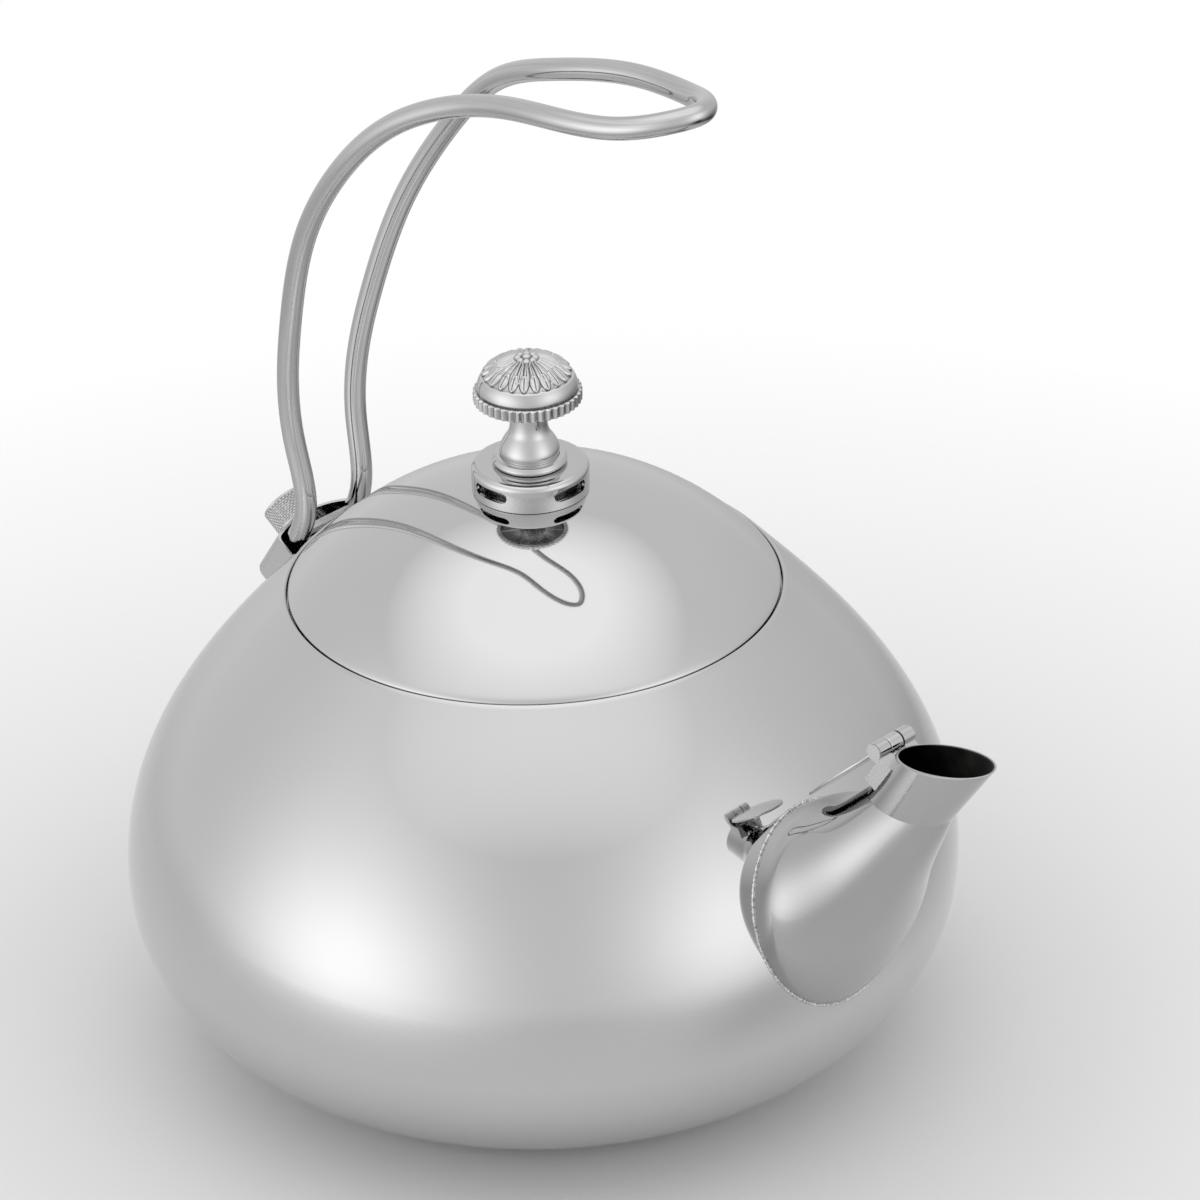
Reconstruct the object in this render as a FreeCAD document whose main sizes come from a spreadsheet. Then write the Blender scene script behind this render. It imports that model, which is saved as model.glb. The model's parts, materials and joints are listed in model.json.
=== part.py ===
import FreeCAD, Part
import math
import os
import re
import Sketcher

# Stovetop whistling kettle. Millimetres, +Z up, +X towards the spout.
# The origin is the centre of the base, on the face the kettle stands on.

V = FreeCAD.Vector
doc = FreeCAD.newDocument("whistling_kettle")

# ---------------------------------------------------------------- driving sizes
SIZES = (
    # body: an egg-shaped shell pressed from sheet, open at the top for the lid
    ("belly_radius", 110.0, "largest outer radius of the body"),
    ("belly_height", 53.3, "height of the largest radius"),
    ("rim_height", 132.3, "height where the body ends and the lid begins"),
    ("rim_radius", 64.9, "outer radius of the body's upper edge"),
    ("rim_slope", 47.2, "degrees below level of the outline at the rim"),
    ("foot_radius", 70.0, "radius of the body's flat bottom"),
    ("foot_slope", 28.3, "degrees above level of the outline at the foot"),
    ("sheet_wall", 0.8, "thickness of the body and lid sheet"),
    ("base_height", 4.2, "height of the body's flat bottom over the floor"),
    ("core_radius", 61.4, "radius of the aluminium heat disc"),
    ("base_wall", 0.6, "thickness of the steel cup round the heat disc"),
    # neck ring: a rolled seat for the lid inside the body's upper edge
    ("seat_depth", 2.0, "depth of the lid seat below the rim"),
    ("neck_radius", 57.6, "inner radius of the neck"),
    ("neck_depth", 9.0, "depth of the neck below the seat"),
    # lid
    ("lid_gap", 0.95, "lid edge inside the rim's outer radius"),
    ("lid_apex", 160.7, "height of the lid's top"),
    ("edge_drop", 1.7, "height of the lid's turned-down edge"),
    ("skirt_gap", 0.5, "radial play of the skirt in the neck"),
    ("skirt_depth", 8.0, "depth of the skirt below the rim"),
    ("steam_radius", 8.0, "steam hole in the lid"),
    # whistle in the lid
    ("cage_radius", 15.2, "outer radius of the slotted cage"),
    ("cage_height", 7.6, "height of the cage over its foot"),
    ("cage_wall", 0.9, "wall of the cage"),
    ("slot_height", 3.1, "height of a steam slot"),
    ("slot_width", 11.0, "length of a steam slot"),
    ("slot_lift", 3.9, "slot centre over the cage's foot"),
    ("whistle_radius", 12.0, "radius of the whistle discs"),
    ("whistle_hole", 1.9, "radius of a whistle disc's steam hole"),
    ("whistle_space", 1.6, "space between the two whistle discs"),
    ("disc_wall", 0.5, "thickness of a whistle disc"),
    # knob
    ("stud_radius", 2.0, "radius of the stud that holds the knob"),
    ("bell_ring", 9.8, "radius of the ring at the bell's foot"),
    ("bell_bulge", 7.9, "radius of the bell above its ring"),
    ("bell_neck", 4.5, "radius of the bell's neck"),
    ("cap_radius", 14.0, "radius of the fluted rim of the knob's cap"),
    ("cap_height", 185.0, "height of the cap's lower edge"),
    ("cap_rim", 3.6, "height of the fluted rim"),
    ("cap_dome", 9.0, "rise of the cap's dome over its rim"),
    ("flute_count", 40.0, "flutes round the cap"),
    # spout
    ("spout_wall", 0.8, "wall of the spout"),
    ("bulb_reach", 90.0, "distance of the bulb's root from the kettle's axis"),
    ("bulb_height", 73.5, "height of the bulb's root"),
    ("bulb_radius", 24.0, "radius of the bulb where it meets the body"),
    ("tip_reach", 130.3, "distance of the tip's foot from the kettle's axis"),
    ("tip_height", 116.8, "height of the tip's foot"),
    ("mouth_reach", 141.8, "distance of the mouth's centre from the axis"),
    ("mouth_height", 133.2, "height of the mouth's centre"),
    ("mouth_tilt", 8.6, "degrees that the mouth rises to the front"),
    ("mouth_length", 29.8, "length of the mouth"),
    ("mouth_width", 16.6, "width of the mouth"),
    ("foot_tilt", -4.0, "degrees that the tip's foot rises to the front"),
    ("tip_foot_length", 24.4, "length of the tip's foot"),
    ("weld_size", 0.9, "height of the weld bead round the spout"),
    ("root_hole", 15.0, "radius of the hole in the body behind the spout"),
    # flap over the mouth
    ("knuckle_radius", 2.4, "outer radius of the hinge knuckles"),
    ("hinge_pin_radius", 1.2, "radius of the hinge pin"),
    ("pin_play", 0.05, "radial play of the pin in the flap's knuckle"),
    ("hinge_length", 12.4, "length of the hinge across the spout"),
    ("flap_knuckle", 4.4, "length of the flap's own knuckle"),
    ("knuckle_gap", 0.25, "gap between two knuckles"),
    ("hinge_stand", 2.95, "distance of the hinge axis from the tip's back"),
    ("flap_wall", 0.8, "thickness of the flap"),
    ("flap_overlap", 1.2, "how far the flap passes the mouth's edge"),
    ("flap_open", 214.4, "degrees the flap turns from shut to open"),
    # handle
    ("rod_radius", 2.9, "radius of the handle rod"),
    ("grip_height", 282.4, "height of the grip's front end"),
    ("grip_reach", 62.0, "distance of the grip's front end from the axis"),
    # bracket behind, on the shoulder
    ("bracket_reach", 83.2, "distance of the bracket's foot from the axis"),
    ("bracket_height", 112.0, "height of the bracket's foot"),
    ("bracket_slope", 55.4, "degrees that the bracket slopes"),
    ("bracket_length", 17.6, "length of the bracket down the slope"),
    ("bracket_width", 30.0, "width of the bracket"),
    ("bracket_side", 5.0, "height of the bracket's side walls"),
    ("bracket_crown", 8.2, "height of the bracket's arched roof"),
    ("bracket_wall", 0.6, "sheet of the bracket"),
    ("tongue_wall", 1.8, "thickness of the handle's tongue"),
    ("tongue_lift", 1.4, "height of the tongue's lower face"),
    ("nut_radius", 4.2, "radius of the threaded nut under the bracket's roof"),
    # thumb screw
    ("screw_radius", 2.0, "radius of the thumb screw's shank"),
    ("screw_play", 0.05, "radial play of the shank in its holes"),
    ("screw_offset", 1.3, "screw axis up the slope from the bracket's middle"),
    ("thumb_radius", 6.5, "radius of the knurled thumb knob"),
    ("thumb_height", 7.6, "height of the knurled thumb knob"),
    ("thumb_flutes", 36.0, "ridges round the thumb knob"),
)
sheet = doc.addObject("Spreadsheet::Sheet", "Sizes")
for row, (alias, number, note) in enumerate(SIZES, start=1):
    sheet.set(f"A{row}", note)
    sheet.set(f"B{row}", str(number))
    sheet.setAlias(f"B{row}", alias)
doc.recompute()


ALIASES = re.compile(r"\b(" + "|".join(alias for alias, _, _ in SIZES) + r")\b")


def size(words):
    """The number that an expression on the sheet's cells gives; a number stays as it is."""
    return float(sheet.evalExpression(words)) if isinstance(words, str) else float(words)


def tie(feature, field, words):
    """Ties a property to an expression on the sheet's cells, or sets a plain number."""
    if isinstance(words, str):
        feature.setExpression(field, ALIASES.sub(r"Sizes.\1", words))
    else:
        setattr(feature, field, words)


# ---------------------------------------------------------------- small builders
FULL_TURN = 360.0
TRAVEL_GAP = 0.3      # gap kept where one piece slides or turns past another
kept = {}


def body(label):
    """An empty PartDesign body."""
    made = doc.addObject("PartDesign::Body", label)
    made.Label = label
    return made


def origin_plane(owner, role):
    """One of a body's own origin planes."""
    return next(part for part in owner.Origin.OriginFeatures if part.Role == role)


def new_sketch(owner, plane, offset=None):
    """A sketch on one of the body's origin planes, moved by offset if one is given."""
    sketch = owner.newObject("Sketcher::SketchObject", owner.Name + "_sketch")
    sketch.AttachmentSupport = [(origin_plane(owner, plane), "")]
    sketch.MapMode = "FlatFace"
    if offset:
        sketch.AttachmentOffset = offset
    return sketch


def measure(sketch, kind, words, *ends):
    """Adds a dimension to a sketch, tied to its expression where it has one."""
    index = sketch.addConstraint(Sketcher.Constraint(kind, *ends, size(words)))
    if isinstance(words, str):
        tie(sketch, f"Constraints[{index}]", words)


def pin_point(sketch, edge, end, place):
    """Fixes one end of an edge at two coordinates from the sketch's origin."""
    for kind, words in zip(("DistanceX", "DistanceY"), place):
        measure(sketch, kind, words, -1, 1, edge, end)


def outline(owner, plane, corners, offset=None):
    """A closed sketch through corners.

    Each corner is (x, y) in expressions. A third entry makes the edge that leads to
    it a curve: two inner poles of a cubic, or one point that an arc passes."""
    sketch = new_sketch(owner, plane, offset)
    places = [V(size(c[0]), size(c[1]), 0) for c in corners]
    edges = []
    for index, corner in enumerate(corners):
        start, end = places[index - 1], places[index]
        bend = corner[2] if len(corner) > 2 else ()
        if len(bend) == 2:
            curve = Part.BSplineCurve()
            curve.buildFromPolesMultsKnots([start, *bend, end], [4, 4], [0, 1], False, 3)
        elif len(bend) == 1:
            curve = Part.Arc(start, bend[0], end)
        else:
            curve = Part.LineSegment(start, end)
        edges.append(sketch.addGeometry(curve, False))
    for index, edge in enumerate(edges):
        last = edges[index - 1]
        starts, ends = joined_ends(sketch, last, edge, places[index - 1])
        sketch.addConstraint(Sketcher.Constraint("Coincident", last, ends, edge, starts))
        pin_point(sketch, edge, starts, corners[index - 1][:2])
    return sketch


def joined_ends(sketch, last, edge, place):
    """Which end of each of two edges lies at a place."""
    found = []
    for index in (edge, last):
        near = sketch.getPoint(index, 1).distanceToPoint(place) < 1e-6
        found.append(1 if near else 2)
    return found


def circle(owner, plane, radius, x=0, y=0, offset=None):
    """A sketch of one circle."""
    sketch = new_sketch(owner, plane, offset)
    centre = V(size(x), size(y), 0)
    edge = sketch.addGeometry(Part.Circle(centre, V(0, 0, 1), size(radius)), False)
    pin_point(sketch, edge, 3, (x, y))
    measure(sketch, "Radius", radius, edge)
    return sketch


def revolved(label, corners):
    """A body turned about +Z from an outline in radius and height."""
    made = body(label)
    turn = made.newObject("PartDesign::Revolution", label + "_turned")
    turn.Profile = outline(made, "XZ_Plane", corners)
    turn.ReferenceAxis = (turn.Profile[0], ["V_Axis"])
    turn.Angle = FULL_TURN
    doc.recompute()
    return made


def pad(owner, sketch, length):
    """A pad of the given length, an expression."""
    made = owner.newObject("PartDesign::Pad", owner.Name + "_pad")
    made.Profile = sketch
    tie(made, "Length", length)
    doc.recompute()
    return made


def pocket(owner, sketch, depth, reverse=False):
    """A pocket of the given depth, checked to remove something."""
    before = owner.Shape.Volume
    made = owner.newObject("PartDesign::Pocket", owner.Name + "_pocket")
    made.Profile = sketch
    made.Reversed = reverse
    tie(made, "Length", depth)
    doc.recompute()
    if not owner.Shape.Volume < before - 1e-6:
        raise RuntimeError(f"{made.Name} cuts nothing")
    return made


def pattern(owner, feature, count):
    """A polar pattern of a feature about +Z."""
    made = owner.newObject("PartDesign::PolarPattern", owner.Name + "_pattern")
    made.Originals = [feature]
    made.Axis = (origin_plane(owner, "Z_Axis"), [""])
    made.Angle = FULL_TURN
    tie(made, "Occurrences", count)
    owner.Tip = made
    doc.recompute()
    return made


def cylinder(label, radius, height, placement=None):
    """A plain cylinder with its sizes tied to the sheet."""
    made = doc.addObject("Part::Cylinder", label)
    made.Label = label
    tie(made, "Radius", radius)
    tie(made, "Height", height)
    if placement:
        made.Placement = placement
    return made


def cut(label, base, tool):
    """The base without the tool."""
    made = doc.addObject("Part::Cut", label)
    made.Label = label
    made.Base = base
    made.Tool = tool
    doc.recompute()
    return made


def fuse(label, *pieces):
    """The pieces as one solid."""
    made = doc.addObject("Part::MultiFuse", label)
    made.Label = label
    made.Shapes = list(pieces)
    doc.recompute()
    return made


def keep(node):
    """Marks an object as one of the kettle's separate pieces."""
    kept[node.Label] = node
    return node


# ---------------------------------------------------------------- body and base
BELLY_RISE = 32.9     # handles of the body's outline: straight up from the belly,
BELLY_FALL = 28.9     # straight down from it,
RIM_HANDLE = 29.5     # down the shoulder from the rim
FOOT_HANDLE = 19.4    # and out from the foot
LID_HANDLE = 33.6     # handles of the lid's outline: up the dome from the rim
APEX_HANDLE = 18.3    # and level from the apex


def aim(degrees):
    """A unit vector at an angle above level, in an outline's plane."""
    return V(math.cos(math.radians(degrees)), math.sin(math.radians(degrees)), 0)


def body_curve(inset):
    """Corners of the body's outline from foot to rim, inset by a wall, with handles."""
    belly = V(size(f"belly_radius - {inset}"), size("belly_height"), 0)
    rim_words, rim = rim_corner(inset)
    foot_words = (f"foot_radius - {inset} / 3", f"base_height + {inset}")
    foot = V(size(foot_words[0]), size(foot_words[1]), 0)
    low = [foot + aim(size("foot_slope")) * FOOT_HANDLE, belly - V(0, BELLY_FALL, 0)]
    high = [belly + V(0, BELLY_RISE, 0), rim + aim(-size("rim_slope")) * RIM_HANDLE]
    belly_words = (f"belly_radius - {inset}", "belly_height")
    return foot_words, (*belly_words, low), (*rim_words, high), high, low


def rim_corner(inset):
    """The outline's end at the rim, moved square to it by an inset."""
    words = (f"rim_radius - {inset} * sin(rim_slope * 1 deg)",
             f"rim_height - {inset} * cos(rim_slope * 1 deg)")
    return words, V(size(words[0]), size(words[1]), 0)


def inner_back(inset):
    """The same inset outline from rim to foot, for the inside of a shell."""
    foot, belly, rim, high, low = body_curve(inset)
    return rim[:2], (*belly[:2], high[::-1]), (*foot, low[::-1])


foot, belly, rim = body_curve("0")[:3]
body_form = revolved("body_form", [(0, "base_height"), foot, belly, rim, (0, "rim_height")])
shell_full = revolved("shell_full", [
    (0, "base_height"), foot, belly, rim, *inner_back("sheet_wall"),
    (0, "base_height + sheet_wall")])

AXIS_X = FreeCAD.Rotation(V(0, 1, 0), 90)
AXIS_Y = FreeCAD.Rotation(V(1, 0, 0), -90)
root_drill = cylinder("root_drill", "root_hole", "belly_radius")
root_drill.Placement = FreeCAD.Placement(V(size("bulb_reach") / 2, 0, size("bulb_height")), AXIS_X)
body_shell = keep(cut("body_shell", shell_full, root_drill))

core_top = "base_height - 0.02"
base_core = keep(revolved("base_core", [
    (0, "base_wall"), ("core_radius", "base_wall"), ("core_radius", core_top), (0, core_top)]))
base_cup = keep(revolved("base_cup", [
    (0, 0), ("core_radius - 0.4 * base_wall", 0), ("core_radius + base_wall", "base_wall"),
    ("core_radius + base_wall", core_top), ("core_radius", core_top), ("core_radius", "base_wall"),
    (0, "base_wall")]))

# the neck ring hangs from the inside of the body's upper edge and carries the lid
seat = "rim_height - seat_depth"
ring_out = "rim_radius - sheet_wall * 1.5"
neck_ring = keep(revolved("neck_ring", [
    ("neck_radius", f"{seat} - neck_depth"), ("neck_radius + sheet_wall", f"{seat} - neck_depth"),
    ("neck_radius + sheet_wall", f"{seat} - sheet_wall"), (f"{ring_out} + 1.2", f"{seat} - sheet_wall"),
    (f"{ring_out} + 0.5", seat), ("neck_radius", seat)]))

# ---------------------------------------------------------------- lid
edge_radius = "rim_radius - lid_gap"
lid_rim = V(size(edge_radius), size("rim_height"), 0)


def lid_poles(drop):
    """Inner poles of the lid's outline from edge to apex, lowered by a wall."""
    up = lid_rim + aim(180 - size("rim_slope")) * LID_HANDLE
    return [up - V(drop, drop / 2, 0), V(APEX_HANDLE, size("lid_apex") - drop, 0)]


def lid_height(radius, drop=0.0):
    """Height of the lid's outline at a radius, found by halving."""
    start, end = lid_rim - V(drop, 0, 0), V(0, size("lid_apex") - drop, 0)
    curve = Part.BezierCurve()
    curve.setPoles([start, *lid_poles(drop), end])
    low, high = 0.0, 1.0
    while high - low > 1e-9:
        middle = (low + high) / 2
        low, high = (middle, high) if curve.value(middle).x > radius else (low, middle)
    return curve.value(low).y


under = "sheet_wall"
lid_full = revolved("lid_full", [
    (0, f"lid_apex - {under}", lid_poles(size(under))), (0, "lid_apex"),
    (edge_radius, "rim_height", lid_poles(0)[::-1]), (edge_radius, "rim_height - edge_drop"),
    (f"{edge_radius} - {under}", "rim_height - edge_drop"), (f"{edge_radius} - {under}", "rim_height")])
steam_drill = cylinder("steam_drill", "steam_radius", "lid_apex")
lid_dome = keep(cut("lid_dome", lid_full, steam_drill))

skirt_out = "neck_radius - skirt_gap"
skirt_in = f"{skirt_out} - sheet_wall"
skirt_low = "rim_height - skirt_depth"
lid_skirt = keep(revolved("lid_skirt", [
    (skirt_in, skirt_low), (skirt_out, skirt_low),
    (skirt_out, lid_height(size(skirt_out), size("sheet_wall")) - 0.02),
    (skirt_in, lid_height(size(skirt_in), size("sheet_wall")) - 0.02)]))

# ---------------------------------------------------------------- whistle and its cage
cage_foot = lid_height(size("cage_radius")) + 0.03
cage_top = f"{cage_foot} + cage_height"
cage_in = "cage_radius - cage_wall"
inner_foot = lid_height(size(cage_in)) + 0.03
edge_round = 1.6
inner_round = edge_round - size("cage_wall")
ROUND_MID = math.sqrt(0.5)


def round_mid(x, y, radius):
    """The middle of a quarter round whose outer corner is at x, y."""
    return [V(x - radius * (1 - ROUND_MID), y - radius * (1 - ROUND_MID), 0)]


whistle_cage = revolved("whistle_cage", [
    ("cage_radius", cage_foot), ("cage_radius", f"{cage_top} - {edge_round}"),
    (f"cage_radius - {edge_round}", cage_top, round_mid(size("cage_radius"), size(cage_top), edge_round)),
    ("stud_radius + screw_play", cage_top), ("stud_radius + screw_play", f"{cage_top} - cage_wall"),
    (f"{cage_in} - {inner_round}", f"{cage_top} - cage_wall"),
    (cage_in, f"{cage_top} - cage_wall - {inner_round}",
     round_mid(size(cage_in), size(f"{cage_top} - cage_wall"), inner_round)),
    (cage_in, inner_foot)])
slot_mid = f"{cage_foot} + slot_lift"
half_slot = "slot_width / 2"
half_high = "slot_height / 2"
flat_end = f"{half_slot} - {half_high}"
slot_sketch = outline(whistle_cage, "XZ_Plane", [
    (f"{half_high} - {half_slot}", f"{slot_mid} - {half_high}", [V(-size(half_slot), size(slot_mid), 0)]),
    (flat_end, f"{slot_mid} - {half_high}"),
    (flat_end, f"{slot_mid} + {half_high}", [V(size(half_slot), size(slot_mid), 0)]),
    (f"{half_high} - {half_slot}", f"{slot_mid} + {half_high}")])
slot_cut = pocket(whistle_cage, slot_sketch, "cage_radius * 1.2")
pattern(whistle_cage, slot_cut, 4)
keep(whistle_cage)

# two thin discs with a hole each, held in a ring over the lid's steam hole
ring_foot = lid_height(size("whistle_radius")) + 0.05
low_disc = f"lid_apex + {under} / 4"
high_disc = f"{low_disc} + disc_wall + whistle_space"
whistle_ring = keep(revolved("whistle_ring", [
    ("whistle_radius", ring_foot), ("whistle_radius + disc_wall", ring_foot),
    ("whistle_radius + disc_wall", f"{high_disc} + disc_wall"),
    ("whistle_radius", f"{high_disc} + disc_wall")]))
for label, level in (("whistle_disc_lower", low_disc), ("whistle_disc_upper", high_disc)):
    keep(revolved(label, [
        ("whistle_hole", level), ("whistle_radius", level),
        ("whistle_radius", f"{level} + disc_wall"), ("whistle_hole", f"{level} + disc_wall")]))

# ---------------------------------------------------------------- knob
nut_flats = 3.5
nut_height = 2.2
nut_floor = f"{cage_top} - cage_wall - {nut_height}"
knob_nut = body("knob_nut")
nut_level = FreeCAD.Placement(V(0, 0, size(nut_floor)), FreeCAD.Rotation())
nut_corner = nut_flats / math.cos(math.radians(30))
pad(knob_nut, outline(knob_nut, "XY_Plane", [
    (nut_corner * math.cos(math.radians(turn)), nut_corner * math.sin(math.radians(turn)))
    for turn in range(0, 360, 60)], nut_level), nut_height)
pocket(knob_nut, circle(knob_nut, "XY_Plane", "stud_radius", offset=nut_level), nut_height, reverse=True)
keep(knob_nut)

cap_inside = "cap_height + 2"
stud_top = "cap_height + cap_rim + cap_dome * 0.4"
stud_low = f"{nut_floor} - 0.4"
knob_stud = keep(revolved("knob_stud", [
    (0, stud_low), ("stud_radius", stud_low), ("stud_radius", stud_top), (0, stud_top)]))


def over_cage(rise):
    """A height above the cage's top."""
    return f"{cage_top} + {rise}"


bell_flare = [V(size("bell_bulge"), size(over_cage(6.2)), 0), V(size("bell_neck"), size(over_cage(6.8)), 0)]
knob_bell = keep(revolved("knob_bell", [
    ("stud_radius", cage_top), ("bell_ring - 0.7", cage_top),
    ("bell_ring - 0.9", over_cage(2.0), [V(size("bell_ring"), size(over_cage(0.9)), 0)]),
    ("bell_bulge - 0.4", over_cage(2.3)), ("bell_bulge", over_cage(3.4)),
    ("bell_neck", over_cage(10.6), bell_flare),
    ("bell_neck + 1.5", cap_inside), ("stud_radius", cap_inside)]))

cap_shoulder = "cap_height + cap_rim"
cap_apex = "cap_height + cap_rim + cap_dome"
dome_foot = "cap_radius - 1"
dome_poles = [V(size("cap_radius") / 2, size(cap_apex), 0),
              V(size(dome_foot), size(f"{cap_shoulder} + cap_dome * 0.6"), 0)]
knob_cap = revolved("knob_cap", [
    (0, stud_top), (0, cap_apex), (dome_foot, cap_shoulder, dome_poles),
    ("cap_radius", cap_shoulder), ("cap_radius", "cap_height"), ("cap_radius - 1.8", "cap_height"),
    ("cap_radius - 1.8", cap_inside), ("stud_radius", cap_inside), ("stud_radius", stud_top)])
rim_level = FreeCAD.Placement(V(0, 0, size("cap_height")), FreeCAD.Rotation())
flute = circle(knob_cap, "XY_Plane", 0.55, x="cap_radius + 0.15", offset=rim_level)
flute_cut = pocket(knob_cap, flute, "cap_rim", reverse=True)
pattern(knob_cap, flute_cut, "flute_count")
keep(knob_cap)

# ---------------------------------------------------------------- spout
# sections from root to tip: share of the reach, share of the rise, lean of the
# section's axis in degrees, half height and half width as shares of the bulb's radius
BULB = ((0.0, 0.0, 18.0, 0.96, 0.96), (0.22, 0.033, 16.0, 1.11, 1.04), (0.45, 0.237, 24.0, 0.97, 1.1),
        (0.715, 0.596, 49.0, 0.62, 0.71))
RING_POINTS = 16


def oval(x, z, lean, long_half, wide_half):
    """A closed smooth wire: an ellipse square to a leaning axis in the XZ plane."""
    up = V(-math.sin(math.radians(lean)), 0, math.cos(math.radians(lean)))
    turns = [2 * math.pi * step / RING_POINTS for step in range(RING_POINTS)]
    ring = [V(x, 0, z) + up * (long_half * math.cos(turn)) + V(0, 1, 0) * (wide_half * math.sin(turn))
            for turn in turns]
    curve = Part.BSplineCurve()
    curve.interpolate(Points=ring, PeriodicFlag=True)
    return Part.Wire([curve.toShape()])


def loft(label, wires, ruled=False):
    """A solid through closed wires."""
    made = doc.addObject("Part::Feature", label)
    made.Label = label
    made.Shape = Part.makeLoft(wires, True, ruled)
    return made


def tip_foot(grow, lift=0.0):
    """The oval where the tip stands on the bulb, grown, and lifted along the tip."""
    along = tip_line() * lift
    return oval(size("tip_reach") + along.x, size("tip_height") + along.z, 90 + size("foot_tilt"),
                size("tip_foot_length") / 2 + grow, size("mouth_width") / 2 + grow)


def tip_line():
    """The tip's direction, from its foot to the mouth."""
    return V(size("mouth_reach - tip_reach"), 0, size("mouth_height - tip_height")).normalize()


def tip_mouth(grow, lift=0.0):
    """The oval of the mouth, grown, and lifted along the tip."""
    along = tip_line() * lift
    return oval(size("mouth_reach") + along.x, size("mouth_height") + along.z, 90 + size("mouth_tilt"),
                size("mouth_length") / 2 + grow, size("mouth_width") / 2 + grow)


def bulb_wires(grow):
    """The ovals of the bulb from its root to the tip's foot, grown."""
    run, rise = size("tip_reach - bulb_reach"), size("tip_height - bulb_height")
    full = size("bulb_radius")
    return [oval(size("bulb_reach") + share * run, size("bulb_height") + lift * rise, lean,
                 full * tall + grow, full * wide + grow) for share, lift, lean, tall, wide in BULB]


bulb_outer = loft("bulb_outer", [*bulb_wires(0), tip_foot(0)])
bulb_inner = loft("bulb_inner", [*bulb_wires(-size("spout_wall")), tip_foot(-size("spout_wall"))])
bulb_shell = cut("bulb_shell", bulb_outer, bulb_inner)
spout_bulb = keep(cut("spout_bulb", bulb_shell, body_form))
tip_outer = loft("tip_outer", [tip_foot(0), tip_mouth(0)], True)
tip_inner = loft("tip_inner", [tip_foot(-size("spout_wall")), tip_mouth(-size("spout_wall"))], True)
spout_tip = keep(cut("spout_tip", tip_outer, tip_inner))

# the weld bead: what lies within its height of both the bulb and the body
proud = "(0 - weld_size)"
foot, belly, rim = body_curve(proud)[:3]
body_proud = revolved("body_proud", [
    (0, "base_height"), (foot[0], "base_height"), foot, belly, rim, (0, rim[1])])
bulb_proud = loft("bulb_proud", [*bulb_wires(size("weld_size")), tip_foot(size("weld_size"))])
bead_full = doc.addObject("Part::Common", "bead_full")
bead_full.Base = body_proud
bead_full.Tool = bulb_proud
doc.recompute()
spout_weld = keep(cut("spout_weld", cut("bead_ring", bead_full, bulb_outer), body_form))

# ---------------------------------------------------------------- flap and its hinge
rim_along = V(math.cos(math.radians(size("mouth_tilt"))), 0, math.sin(math.radians(size("mouth_tilt"))))
mouth = V(size("mouth_reach"), 0, size("mouth_height"))
back_edge = mouth - rim_along * (size("mouth_length") / 2)
foot_along = V(math.cos(math.radians(size("foot_tilt"))), 0, math.sin(math.radians(size("foot_tilt"))))
foot_back = V(size("tip_reach"), 0, size("tip_height")) - foot_along * (size("tip_foot_length") / 2)
back_line = (back_edge - foot_back).normalize()
back_out = V(-back_line.z, 0, back_line.x)
AXIS_DROP = 1.5       # the hinge axis lies this far below the mouth's back edge
hinge_axis = back_edge + back_out * size("hinge_stand") - back_line * AXIS_DROP
back_slope = math.degrees(math.atan2(back_line.z, back_line.x))


def across(middle, length):
    """Placement of a cylinder that lies along Y, centred on a point."""
    return FreeCAD.Placement(middle - V(0, size(length) / 2, 0), AXIS_Y)


def beside(distance):
    """The hinge axis at a distance along Y."""
    return hinge_axis + V(0, distance, 0)


side_length = "(hinge_length - flap_knuckle) / 2 - knuckle_gap"
side_middle = size(f"flap_knuckle / 2 + knuckle_gap + ({side_length}) / 2")
knuckles = [cylinder(f"side_knuckle_{name}", "knuckle_radius", side_length,
                     across(beside(side_middle * way), side_length)) for name, way in (("a", 1), ("b", -1))]


def leaf_block(label, low, high):
    """A block in the tip's back frame: out from the back, across, and up along it."""
    made = doc.addObject("Part::Box", label)
    made.Length, made.Width, made.Height = high.x - low.x, high.y - low.y, high.z - low.z
    turn = FreeCAD.Rotation(V(0, 1, 0), 90 - back_slope)
    foot_place = hinge_axis - back_out * size("hinge_stand")
    made.Placement = FreeCAD.Placement(foot_place, turn) * FreeCAD.Placement(low, FreeCAD.Rotation())
    return made


half_hinge = size("hinge_length") / 2
leaf = leaf_block("leaf", V(-0.9, -half_hinge, -9), V(3.2, half_hinge, 0.6))
web = leaf_block("web", V(-size("hinge_stand"), -half_hinge, -2.2), V(1, half_hinge, 0.6))
strap_room = "knuckle_radius + 1"
room_length = "flap_knuckle + 2 * knuckle_gap"
strap_clear = cylinder("strap_clear", strap_room, room_length, across(hinge_axis, room_length))
bracket_full = fuse("hinge_full", *knuckles, leaf, web)
bracket_trim = cut("hinge_trim", cut("hinge_fitted", bracket_full, tip_outer), strap_clear)
bracket_clear = cut("hinge_clear", bracket_trim, bulb_outer)
pin_bore = cylinder("pin_bore", "hinge_pin_radius", "hinge_length * 2", across(hinge_axis, "hinge_length * 2"))
hinge_bracket = keep(cut("hinge_bracket", bracket_clear, pin_bore))

HEAD_HEIGHT = 0.4
pin_shank = cylinder("pin_shank", "hinge_pin_radius", "hinge_length", across(hinge_axis, "hinge_length"))
pin_heads = [cylinder(f"pin_head_{name}", "knuckle_radius - 0.2", HEAD_HEIGHT,
                      across(beside(way * (half_hinge + HEAD_HEIGHT / 2)), HEAD_HEIGHT))
             for name, way in (("a", 1), ("b", -1))]
hinge_pin = keep(fuse("hinge_pin", pin_shank, *pin_heads))

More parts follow.
